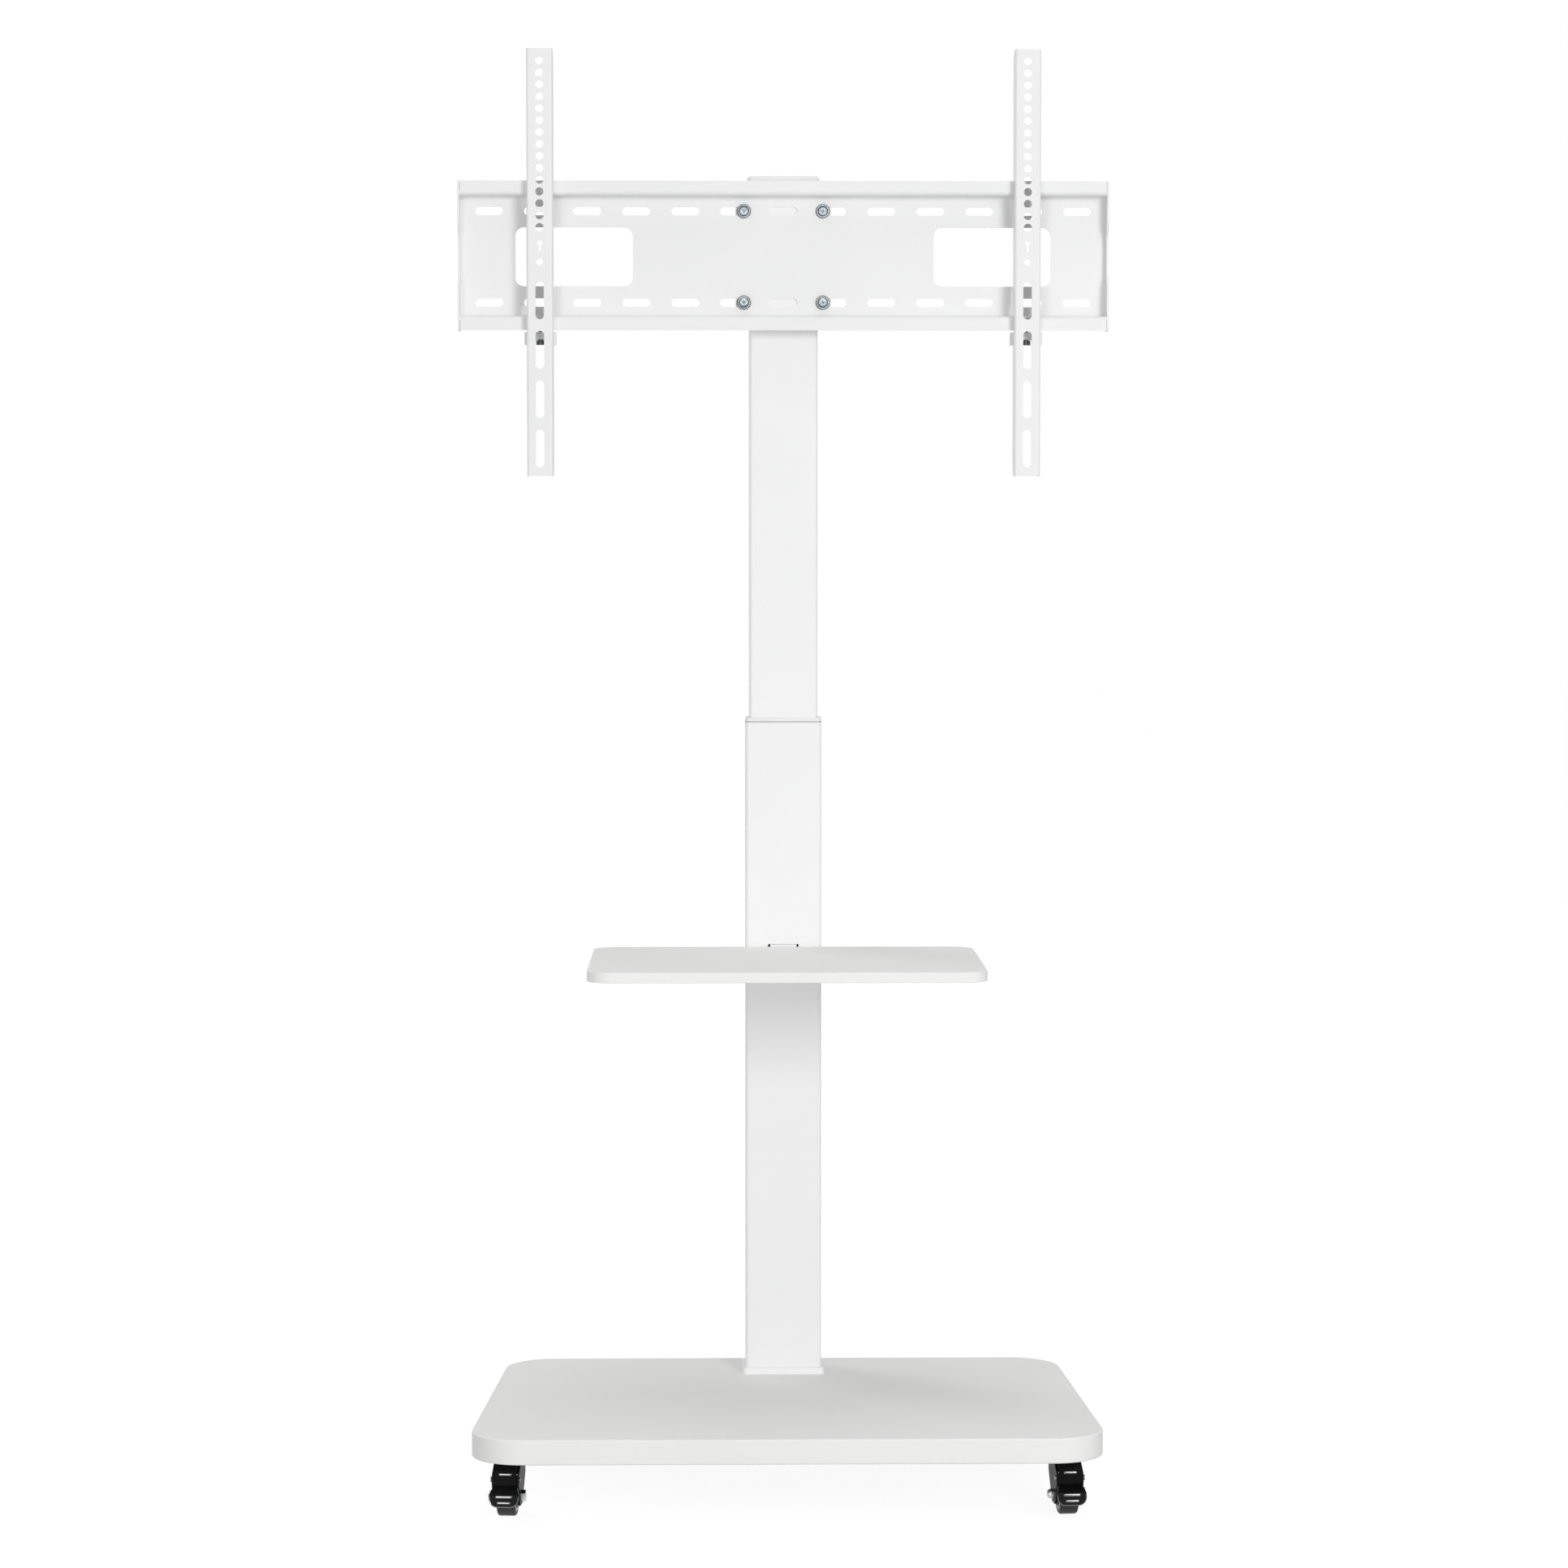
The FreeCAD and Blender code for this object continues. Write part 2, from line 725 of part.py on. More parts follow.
def make_columns():
    lower = tube("lower_column", d.column_width, d.column_depth, d.column_wall, d.column_corner_radius,
                 d.lower_column_length)
    slot_width = d.tongue_width + d.tongue_slot_margin * 2
    slot_top = d.shelf_height + d.tongue_rise + d.slide_gap - column_bottom
    slot_box = box(slot_width, d.tongue_slot_height, 0, slot_top - d.tongue_slot_height / 2)
    bolt_z = shelf_bottom - d.bracket_bolt_drop - column_bottom
    bracket_holes = [circle(d.bracket_bolt_span / 2 * sign, bolt_z, small_thread_radius) for sign in (-1, 1)]
    pocket(lower, sketch(lower, "XZ", [slot_box] + bracket_holes), back=True)
    top_bolt = d.lower_column_length - d.height_bolt_drop
    height_holes = [circle(0, top_bolt - step, bolt_hole_radius) for step in (0, d.height_hole_pitch)]
    pocket(lower, sketch(lower, "XZ", height_holes))
    place(lower, 0, column_y, column_bottom)

    collar = new_body("column_collar")
    bore = box(upper_width + d.slide_gap * 2, upper_depth + d.slide_gap * 2)
    gap = d.column_wall * 2 + d.slide_gap * 2
    rim_width = d.column_width - d.slide_gap
    rim_depth = d.column_depth - d.slide_gap
    rim = pad(collar, sketch(collar, "XY", [box(rim_width, rim_depth), bore]), d.collar_rim)
    rim = fillet(collar, rim, edges_along(rim, "z", box_spots(rim_width, rim_depth)), d.column_corner_radius)
    skirt_width = d.column_width - gap
    skirt_depth = d.column_depth - gap
    ring = sketch(collar, "XY", [box(skirt_width, skirt_depth), bore])
    skirt = pad(collar, ring, d.collar_skirt, back=True)
    skirt_radius = d.column_corner_radius - d.column_wall
    fillet(collar, skirt, edges_along(skirt, "z", box_spots(skirt_width, skirt_depth)), skirt_radius)
    place(collar, 0, column_y, column_top)

    upper = tube("upper_column", upper_width, upper_depth, d.column_wall, d.column_corner_radius,
                 d.upper_column_length)
    hole = pocket(upper, sketch(upper, "XZ", [circle(0, d.height_hole_inset, bolt_hole_radius)]))
    repeat(upper, hole, "Z", d.height_hole_pitch, d.height_hole_count)
    place(upper, 0, column_y, mast_bottom)

    strip = new_body("height_strip")
    strip_length = d.height_hole_pitch * (d.height_hole_count - 1) + d.strip_margin * 2
    face = box(d.strip_width, strip_length, 0, strip_length / 2)
    pad(strip, sketch(strip, "XZ", [face]), d.strip_thickness)
    thread = pocket(strip, sketch(strip, "XZ", [circle(0, d.strip_margin, bolt_thread_radius)]), back=True)
    repeat(strip, thread, "Z", d.height_hole_pitch, d.height_hole_count)
    place(strip, 0, mast_rear - d.column_wall, mast_bottom + d.height_hole_inset - d.strip_margin)

    bolts = []
    washers = []
    length = column_rear - mast_rear + d.column_wall + d.strip_thickness + d.washer_thickness
    for step in (0, d.height_hole_pitch):
        z = column_top - d.height_bolt_drop - step
        ring = washer("height_washer", d.washer_diameter, bolt_hole_radius)
        place(ring, 0, column_rear + d.washer_thickness, z, to_front)
        washers.append(ring)
        bolt = hex_bolt("height_bolt", d.bolt_diameter, length, d.bolt_head_across, d.bolt_head_height)
        place(bolt, 0, column_rear + d.washer_thickness, z, to_front)
        bolts.append(bolt)
    group("height_bolts", bolts)
    group("height_washers", washers)


# Plastic pieces pressed into the ends of the upper column
def make_column_ends():
    plug_width = upper_width - d.column_wall * 2 - d.slide_gap
    plug_depth = upper_depth - d.column_wall * 2 - d.slide_gap
    plug_radius = d.column_corner_radius - d.column_wall
    plug_spots = box_spots(plug_width, plug_depth)

    cap = new_body("column_cap")
    cap_width = upper_width + d.cap_margin * 2
    cap_depth = upper_depth + d.cap_margin * 2
    lid = pad(cap, sketch(cap, "XY", [box(cap_width, cap_depth)]), d.cap_height)
    lid = fillet(cap, lid, edges_along(lid, "z"), d.column_corner_radius + d.cap_margin)
    fillet(cap, lid, edges_at_level(lid, d.cap_height), d.cap_top_radius)
    plug = pad(cap, sketch(cap, "XY", [box(plug_width, plug_depth)]), d.cap_plug, back=True)
    fillet(cap, plug, edges_along(plug, "z", plug_spots), plug_radius)
    place(cap, 0, column_y, mast_top)

    glide = new_body("column_glide")
    flange_width = d.column_width - d.column_wall * 2 - d.slide_gap * 2
    flange_depth = d.column_depth - d.column_wall * 2 - d.slide_gap * 2
    flange = pad(glide, sketch(glide, "XY", [box(flange_width, flange_depth)]), d.glide_flange, back=True)
    fillet(glide, flange, edges_along(flange, "z"), plug_radius)
    plug = pad(glide, sketch(glide, "XY", [box(plug_width, plug_depth)]), d.glide_plug)
    fillet(glide, plug, edges_along(plug, "z", plug_spots), plug_radius)
    relief_depth = flange_depth - upper_depth
    relief = box(d.glide_relief_width, relief_depth, 0, -flange_depth / 2)
    pocket(glide, sketch(glide, "XY", [relief]))
    place(glide, 0, column_y, mast_bottom)


def make_head():
    head = new_body("head_plate")
    holes = corners_of(head_bolt_span_x, d.slot_row_span, small_hole_radius)
    width = head_bolt_span_x + d.head_bolt_inset * 2
    block = pad(head, sketch(head, "XZ", [box(width, d.head_height)] + holes), d.head_thickness)
    spots = box_spots(width, d.head_height, "x", "z")
    fillet(head, block, edges_along(block, "y", spots), d.head_corner_radius)
    place(head, 0, mast_front, head_z)

    bolts = []
    washers = []
    nuts = []
    seat = web_front - d.washer_thickness
    length = d.washer_thickness + d.plate_sheet + d.head_thickness + d.small_nut_height
    for x, z in box(head_bolt_span_x, d.slot_row_span, 0, head_z):
        ring = washer("head_washer", d.pan_washer_diameter, small_hole_radius)
        place(ring, x, seat, z, to_rear)
        washers.append(ring)
        bolt = pan_bolt("head_bolt", d.small_bolt_diameter, length, d.pan_head_diameter, d.pan_head_height)
        place(bolt, x, seat, z, to_rear)
        bolts.append(bolt)
        block = nut("head_nut", d.small_nut_across, d.small_nut_height, small_thread_radius)
        place(block, x, mast_front, z, to_rear)
        nuts.append(block)
    group("head_bolts", bolts)
    group("head_washers", washers)
    group("head_nuts", nuts)


# Pressed wall plate: recessed web, rails with upturned and downturned lips, end flanges
def make_wall_plate():
    plate = new_body("wall_plate")
    half = d.plate_height / 2
    thick = d.plate_sheet
    front = -d.plate_depth
    rail = half - d.lip_height
    section = [
        (0, -rail - thick),
        (0, rail + thick),
        (front + thick, rail + thick),
        (front + thick, half),
        (front, half),
        (front, rail),
        (-thick, rail),
        (-thick, -rail),
        (front, -rail),
        (front, -half),
        (front + thick, -half),
        (front + thick, -rail - thick),
    ]
    bent = pad(plate, sketch(plate, "YZ", [section]), d.plate_width, symmetric=True)
    outer = d.plate_bend_radius + thick
    tight = [{"y": -thick, "z": rail}, {"y": -thick, "z": -rail}]
    tight += [{"y": front + thick, "z": rail + thick}, {"y": front + thick, "z": -rail - thick}]
    bent = fillet(plate, bent, edges_along(bent, "x", tight), d.plate_bend_radius)
    wide = [{"y": 0, "z": rail + thick}, {"y": 0, "z": -rail - thick}]
    wide += [{"y": front, "z": rail}, {"y": front, "z": -rail}]
    bent = fillet(plate, bent, edges_along(bent, "x", wide), outer)
    foot = d.scallop_height / 2
    mouth = foot + d.scallop_slope
    flange = [
        (front, -half),
        (front, -mouth),
        (front + d.scallop_depth, -foot),
        (front + d.scallop_depth, foot),
        (front, mouth),
        (front, half),
        (0, half),
        (0, -half),
    ]
    end = d.plate_width / 2
    pad(plate, sketch(plate, "YZ", [flange], end - thick), thick)
    ends = pad(plate, sketch(plate, "YZ", [flange], -end), thick)
    notch = []
    for sign in (-1, 1):
        notch.append({"y": front + d.scallop_depth, "z": foot * sign})
        notch.append({"y": front, "z": mouth * sign})
    fillet(plate, ends, edges_along(ends, "x", notch), d.scallop_radius)
    slit_height = d.lip_height - outer
    slits = []
    for sign in (-1, 1):
        slit_x = (end - thick - d.end_relief / 2) * sign
        slits.append(box(d.end_relief, slit_height, slit_x, half - slit_height / 2))
        slits.append(box(d.end_relief, slit_height, slit_x, slit_height / 2 - half))
    pocket(plate, sketch(plate, "XZ", slits), symmetric=True)
    windows = [box(d.window_width, d.window_height, window_x * sign) for sign in (-1, 1)]
    cut = pocket(plate, sketch(plate, "XZ", windows), d.cut_overrun, symmetric=True)
    spots = []
    for sign in (-1, 1):
        for x, z in box(d.window_width, d.window_height, window_x * sign):
            spots.append({"x": x, "z": z})
    fillet(plate, cut, edges_along(cut, "y", spots), d.window_radius)
    first = -slot_pitch * slot_steps
    for sign in (-1, 1):
        opening = slot(first, d.slot_row_span / 2 * sign, d.slot_length, d.slot_width, False)
        hole = pocket(plate, sketch(plate, "XZ", [opening]), d.cut_overrun, symmetric=True)
        repeat(plate, hole, "X", slot_pitch, slot_steps * 2 + 1)
    place(plate, 0, head_front, head_z)


# TV arms: folded channels that hook over the upper lip
def make_arm(side, sign):
    arm = new_body(f"arm_{side}")
    half = d.arm_width / 2
    inner = half - d.arm_sheet
    channel = [
        (-half, 0),
        (half, 0),
        (half, d.arm_depth),
        (inner, d.arm_depth),
        (inner, d.arm_sheet),
        (-inner, d.arm_sheet),
        (-inner, d.arm_depth),
        (-half, d.arm_depth),
    ]
    fold = pad(arm, sketch(arm, "XY", [channel]), d.arm_length)
    outside = [{"x": half, "y": 0}, {"x": -half, "y": 0}]
    fold = fillet(arm, fold, edges_along(fold, "z", outside), d.arm_bend_radius)
    inside = [{"x": inner, "y": d.arm_sheet}, {"x": -inner, "y": d.arm_sheet}]
    fold = fillet(arm, fold, edges_along(fold, "z", inside), d.arm_bend_radius - d.arm_sheet)
    ends = []
    for x in (half - d.arm_sheet / 2, -half + d.arm_sheet / 2):
        ends += [{"x": x, "y": d.arm_depth, "z": 0}, {"x": x, "y": d.arm_depth, "z": d.arm_length}]
    chamfer(arm, fold, edges_along(fold, "x", ends), d.arm_end_chamfer)

    lowest = d.arm_length - d.arm_hole_inset - d.arm_hole_pitch * (d.arm_hole_count - 1)
    hole = pocket(arm, sketch(arm, "XZ", [circle(0, lowest, d.arm_hole_diameter / 2)]), d.cut_overrun)
    repeat(arm, hole, "Z", d.arm_hole_pitch, d.arm_hole_count)
    long_hole = slot(0, d.arm_slot_inset, d.arm_slot_length, d.arm_slot_width, True)
    hole = pocket(arm, sketch(arm, "XZ", [long_hole]), d.cut_overrun)
    repeat(arm, hole, "Z", d.arm_slot_pitch, d.arm_slot_count)
    eyes = [
        circle(0, d.arm_centre_hole_height, d.arm_centre_hole_diameter / 2),
        circle(0, d.keyhole_height, d.keyhole_diameter / 2),
    ]
    pocket(arm, sketch(arm, "XZ", eyes), d.cut_overrun)
    neck = slot(0, d.keyhole_height - d.keyhole_neck_length / 2, d.keyhole_neck_length + d.keyhole_neck_width,
                d.keyhole_neck_width, True)
    pocket(arm, sketch(arm, "XZ", [neck]), d.cut_overrun)

    lip_start = d.arm_standoff - d.slide_gap
    lip_end = d.arm_standoff + d.plate_sheet + d.slide_gap
    beyond = d.arm_depth + d.cut_overrun
    lip_top = d.arm_below_plate + d.plate_height
    rail_bottom = lip_top - d.lip_height
    hook = [
        (lip_start, rail_bottom - d.hook_lift),
        (beyond, rail_bottom - d.hook_lift),
        (beyond, lip_top - d.hook_depth),
        (lip_end, lip_top - d.hook_depth),
        (lip_end, lip_top + d.slide_gap),
        (lip_start, lip_top + d.slide_gap),
    ]
    bracket_foot = d.arm_below_plate - d.lock_drop - d.lock_height
    low_top = d.arm_below_plate + d.lip_height + d.hook_lift
    low = [(lip_start, bracket_foot), (beyond, bracket_foot), (beyond, low_top), (lip_start, low_top)]
    pocket(arm, sketch(arm, "YZ", [hook, low]), symmetric=True)
    place(arm, d.arm_span / 2 * sign, arm_front, arm_bottom)

    lock = new_body(f"lock_bracket_{side}")
    inside = d.lock_height - d.lock_sheet
    profile = [
        (0, 0),
        (d.lock_sheet, 0),
        (d.lock_sheet, inside),
        (d.lock_depth - d.lock_sheet, inside),
        (d.lock_depth - d.lock_sheet, 0),
        (d.lock_depth, 0),
        (d.lock_depth, d.lock_height),
        (0, d.lock_height),
    ]
    pad(lock, sketch(lock, "YZ", [profile]), d.lock_width, symmetric=True)
    relief = box(d.lock_relief_width, d.lock_relief_height, 0, d.lock_relief_height / 2)
    pocket(lock, sketch(lock, "XZ", [relief]), symmetric=True)
    screw_radius = d.safety_screw_diameter / 2
    hole = circle(0, d.lock_depth / 2, screw_radius + d.thread_clearance)
    pocket(lock, sketch(lock, "XY", [hole]), back=True)
    place(lock, d.arm_span / 2 * sign, lip_front, lock_bottom)

    screw = new_body(f"safety_screw_{side}")
    shank = d.lock_drop + d.lock_height + d.safety_screw_reach
    profile = [
        (0, -d.safety_head_height),
        (d.safety_head_diameter / 2, -d.safety_head_height),
        (d.safety_head_diameter / 2, 0),
        (screw_radius, 0),
        (screw_radius, shank - d.lock_sheet),
        (0, shank),
    ]
    turned(screw, sketch(screw, "XZ", [profile]), "V_Axis")
    groove = box(d.safety_head_diameter + d.cut_overrun, d.cross_width)
    pocket(screw, sketch(screw, "XY", [groove], -d.safety_head_height), d.cross_depth, back=True)
    place(screw, d.arm_span / 2 * sign, lip_front + d.lock_depth / 2, lock_bottom + d.safety_head_height)


def make_shelf():
    shelf = new_body("shelf_board")
    middle = column_front - d.shelf_depth / 2
    board = pad(shelf, sketch(shelf, "XY", [box(d.shelf_width, d.shelf_depth)]), d.shelf_thickness)
    board = fillet(shelf, board, edges_along(board, "z"), d.shelf_corner_radius)
    rims = edges_at_level(board, d.shelf_thickness) + edges_at_level(board, 0)
    fillet(shelf, board, rims, d.shelf_edge_radius)
    back = d.shelf_depth / 2
    notch_depth = d.bracket_sheet + d.slide_gap
    notch = box(d.tongue_width + d.slide_gap * 2, notch_depth * 2, 0, back)
    pocket(shelf, sketch(shelf, "XY", [notch]), back=True)
    screw_y = d.shelf_depth / 2 - d.bracket_depth / 2
    pilots = corners_of(d.bracket_screw_span_x, d.bracket_screw_span_y, pilot_radius, 0, screw_y)
    pocket(shelf, sketch(shelf, "XY", pilots), d.shelf_screw_bite + d.slide_gap, back=True)
    place(shelf, 0, middle, shelf_bottom)

    bracket = new_body("shelf_bracket")
    thick = d.bracket_sheet
    plate_y = -d.bracket_depth / 2
    hole_radius = pilot_radius + d.bolt_clearance
    holes = corners_of(d.bracket_screw_span_x, d.bracket_screw_span_y, hole_radius, 0, plate_y)
    face = box(d.bracket_width, d.bracket_depth, 0, plate_y)
    pad(bracket, sketch(bracket, "XY", [face] + holes), thick, back=True)
    gusset = [
        (0, 0),
        (0, -d.bracket_flange_rear),
        (-d.bracket_depth, -d.bracket_flange_front),
        (-d.bracket_depth, 0),
    ]
    side = d.bracket_width / 2
    pad(bracket, sketch(bracket, "YZ", [gusset], side - thick), thick)
    pad(bracket, sketch(bracket, "YZ", [gusset], -side), thick)
    rise = d.shelf_thickness + d.tongue_rise
    tongue = d.tongue_width / 2
    back_half = d.bracket_back_width / 2
    back_plate = [
        (-back_half, -d.bracket_back_height),
        (back_half, -d.bracket_back_height),
        (back_half, 0),
        (tongue, 0),
        (tongue, rise),
        (-tongue, rise),
        (-tongue, 0),
        (-back_half, 0),
    ]
    bolt_x = d.bracket_bolt_span / 2
    bolt_holes = [circle(bolt_x * sign, -d.bracket_bolt_drop, small_hole_radius) for sign in (-1, 1)]
    pad(bracket, sketch(bracket, "XZ", [back_plate] + bolt_holes), thick)
    hook_front = d.column_wall + d.slide_gap
    hook = [
        (0, rise - thick),
        (hook_front, rise - thick),
        (hook_front, rise - d.tongue_drop),
        (hook_front + thick, rise - d.tongue_drop),
        (hook_front + thick, rise),
        (0, rise),
    ]
    pad(bracket, sketch(bracket, "YZ", [hook]), d.tongue_width, symmetric=True)
    place(bracket, 0, column_front, shelf_bottom)

    screws = []
    for x, y in box(d.bracket_screw_span_x, d.bracket_screw_span_y, 0, column_front + plate_y):
        screw = wood_screw("shelf_screw", d.shelf_screw_bite + thick)
        place(screw, x, y, shelf_bottom - thick)
        screws.append(screw)
    group("shelf_screws", screws)
    bolts = []
    for sign in (-1, 1):
        length = thick + d.column_wall
        head = (d.small_head_diameter, d.small_head_height)
        bolt = pan_bolt("bracket_bolt", d.small_bolt_diameter, length, *head)
        place(bolt, bolt_x * sign, column_front - thick, shelf_bottom - d.bracket_bolt_drop, to_rear)
        bolts.append(bolt)
    group("bracket_bolts", bolts)


# Caster pieces fixed to the base
def make_caster_tops():
    plates = []
    pins = []
    screws = []
    plate_bottom_z = d.caster_height - d.caster_plate_thickness
    for corner in corners:
        plate = new_body("caster_plate", False)
        holes = corners_of(d.caster_screw_span_x, d.caster_screw_span_y, pilot_radius + d.bolt_clearance)
        holes.append(circle(0, 0, d.kingpin_diameter / 2 + d.running_fit))
        loops = [box(d.caster_plate_width, d.caster_plate_depth)] + holes
        block = pad(plate, sketch(plate, "XY", loops), d.caster_plate_thickness)
        spots = box_spots(d.caster_plate_width, d.caster_plate_depth)
        fillet(plate, block, edges_along(block, "z", spots), d.caster_plate_radius)
        place(plate, corner.x, corner.y, plate_bottom_z)
        plates.append(plate)

        pin = new_body("caster_kingpin", False)
        shank_bottom = fork_top - d.fork_sheet - d.slide_gap
        profile = [
            (0, -d.kingpin_head_height),
            (d.kingpin_head_diameter / 2, -d.kingpin_head_height),
            (d.kingpin_head_diameter / 2, 0),
            (d.kingpin_diameter / 2, 0),
            (d.kingpin_diameter / 2, d.caster_height - shank_bottom),
            (0, d.caster_height - shank_bottom),
        ]
        turned(pin, sketch(pin, "XZ", [profile]), "V_Axis")
        place(pin, corner.x, corner.y, shank_bottom)
        pins.append(pin)

        for x, y in box(d.caster_screw_span_x, d.caster_screw_span_y, corner.x, corner.y):
            screw = wood_screw("caster_screw", d.caster_screw_bite + d.caster_plate_thickness)
            place(screw, x, y, plate_bottom_z)
            screws.append(screw)
    group("caster_plates", plates)
    group("caster_kingpins", pins)
    group("caster_screws", screws)


# Fork with its ball race; the braked one reaches forward to carry the pedal pin
def make_fork(corner):
    fork = new_body(f"{corner.name}_fork")
    bore = circle(0, 0, d.kingpin_diameter / 2 + d.running_fit)
    disc_bottom = fork_top - d.fork_sheet
    pad(fork, sketch(fork, "XY", [circle(0, 0, d.fork_radius), bore], disc_bottom), d.fork_sheet)
    rim = [circle(0, 0, d.fork_radius), circle(0, 0, d.fork_radius - d.race_wall)]
    pad(fork, sketch(fork, "XY", rim, fork_top), d.race_height - d.slide_gap * 2)
    foot = d.fork_foot
    cheek = [
        (d.fork_rear, fork_top),
        (-d.fork_front, fork_top),
    ]
    if corner.braked:
        pin_edge = -d.wheel_trail - d.pedal_pin_ahead - d.pedal_pin_diameter
        pin_z = wheel_radius + d.pedal_pin_above
        cheek.append((pin_edge, pin_z + d.pedal_pin_diameter))
        cheek.append((pin_edge, pin_z - d.pedal_pin_diameter))
    else:
        cheek.append((-d.fork_front - foot, wheel_radius + foot * 2))
    cheek += [
        (-d.wheel_trail - foot, wheel_radius - foot),
        (-d.wheel_trail + foot, wheel_radius - foot),
        (d.fork_rear, d.fork_rear_height),
    ]
    inner = d.fork_inner_width / 2
    pad(fork, sketch(fork, "YZ", [cheek], inner), d.fork_sheet)
    legs = pad(fork, sketch(fork, "YZ", [cheek], -inner - d.fork_sheet), d.fork_sheet)
    spots = []
    for sign in (-1, 1):
        for y, z in cheek[2:]:
            spots.append({"x": (inner + d.fork_sheet / 2) * sign, "y": y, "z": z})
    legs = fillet(fork, legs, edges_along(legs, "x", spots), d.fork_corner_radius)
    brow = [
        (0, disc_bottom),
        (-d.fork_front, disc_bottom),
        (-d.fork_front - foot, disc_bottom - d.fork_brow_height + d.fork_sheet),
        (-d.fork_front - foot, disc_bottom - d.fork_brow_height + d.fork_sheet * 2),
        (-d.fork_front, fork_top),
        (0, fork_top),
    ]
    if not corner.braked:
        brow[2:4] = []
    bore_edge = -d.kingpin_head_diameter / 2 - d.fork_sheet
    brow[0] = (bore_edge, disc_bottom)
    brow[-1] = (bore_edge, fork_top)
    pad(fork, sketch(fork, "YZ", [brow]), d.fork_inner_width, symmetric=True)
    axle = [circle(-d.wheel_trail, wheel_radius, d.axle_diameter / 2 + d.running_fit)]
    if corner.braked:
        pin_y = -d.wheel_trail - d.pedal_pin_ahead
        axle.append(circle(pin_y, pin_z, d.pedal_pin_diameter / 2 + d.running_fit))
    pocket(fork, sketch(fork, "YZ", axle), symmetric=True)
    place_caster(fork, corner)


def make_wheel(corner):
    at_axle = (0, -d.wheel_trail)
    half_width = d.wheel_width / 2
    rim_radius = wheel_radius - d.tyre_thickness
    boss_half = d.fork_inner_width / 2 - d.slide_gap
    boss_radius = d.hub_boss_diameter / 2
    bore_radius = d.axle_diameter / 2 + d.running_fit
    web_half = half_width - d.hub_recess
    hub = new_body(f"{corner.name}_hub")
    profile = [
        (-boss_half, bore_radius),
        (boss_half, bore_radius),
        (boss_half, boss_radius),
        (web_half, boss_radius),
        (web_half, rim_radius - d.hub_wall),
        (half_width, rim_radius - d.hub_wall),
        (half_width, rim_radius),
        (-half_width, rim_radius),
        (-half_width, rim_radius - d.hub_wall),
        (-web_half, rim_radius - d.hub_wall),
        (-web_half, boss_radius),
        (-boss_half, boss_radius),
    ]
    turned(hub, sketch(hub, "XY", [profile], wheel_radius, at_axle), "H_Axis")
    place_caster(hub, corner)

    tyre = new_body(f"{corner.name}_tyre")
    bend = d.tyre_radius
    tyre_inner = rim_radius + d.thread_clearance
    profile = [
        (-half_width, tyre_inner),
        (half_width, tyre_inner),
        (half_width, wheel_radius),
        (-half_width, wheel_radius),
    ]
    ring = turned(tyre, sketch(tyre, "XY", [profile], wheel_radius, at_axle), "H_Axis")
    rims = []
    for index, edge in enumerate(ring.Shape.Edges, start=1):
        is_round = isinstance(edge.Curve, Part.Circle)
        if is_round and abs(edge.Curve.Radius - wheel_radius.number) < edge_tolerance:
            rims.append(f"Edge{index}")
    fillet(tyre, ring, rims, bend)
    place_caster(tyre, corner)

    outer = d.fork_inner_width / 2 + d.fork_sheet
    bolt = new_body("axle_bolt", False)
    shank = circle(-d.wheel_trail, wheel_radius, d.axle_diameter / 2)
    pad(bolt, sketch(bolt, "YZ", [shank], -outer), outer * 2 + d.axle_nut_height)
    dome = circle(-d.wheel_trail, wheel_radius, d.axle_cap_diameter / 2)
    head = pad(bolt, sketch(bolt, "YZ", [dome], -outer), d.axle_cap_height, back=True)
    rim = [f"Edge{index}" for index, edge in enumerate(head.Shape.Edges, start=1)
           if is_at(edge.CenterOfMass, {"x": -outer - d.axle_cap_height})]
    fillet(bolt, head, rim, d.axle_cap_radius)
    place_caster(bolt, corner)
    block = new_body("axle_nut", False)
    loops = [hexagon(d.axle_nut_across), circle(0, 0, d.axle_diameter / 2 + d.thread_clearance)]
    pad(block, sketch(block, "YZ", loops, outer, (-d.wheel_trail, wheel_radius)), d.axle_nut_height)
    place_caster(block, corner)
    group(f"{corner.name}_axle", [bolt, block])


def make_bearing(corner):
    balls = []
    for index in range(sizes["ball_count"]):
        ball = doc.addObject("Part::Sphere", "bearing_ball")
        bind(ball, "Radius", d.ball_diameter / 2)
        turn = f"360 * {index} / dims.ball_count"
        ball.setExpression("Placement.Base.x", f"{corner.x.text} + dims.race_radius * cos({turn})")
        ball.setExpression("Placement.Base.y", f"{corner.y.text} + dims.race_radius * sin({turn})")
        bind(ball, "Placement.Base.z", fork_top + d.race_height / 2)
        balls.append(ball)
    group(f"{corner.name}_balls", balls)


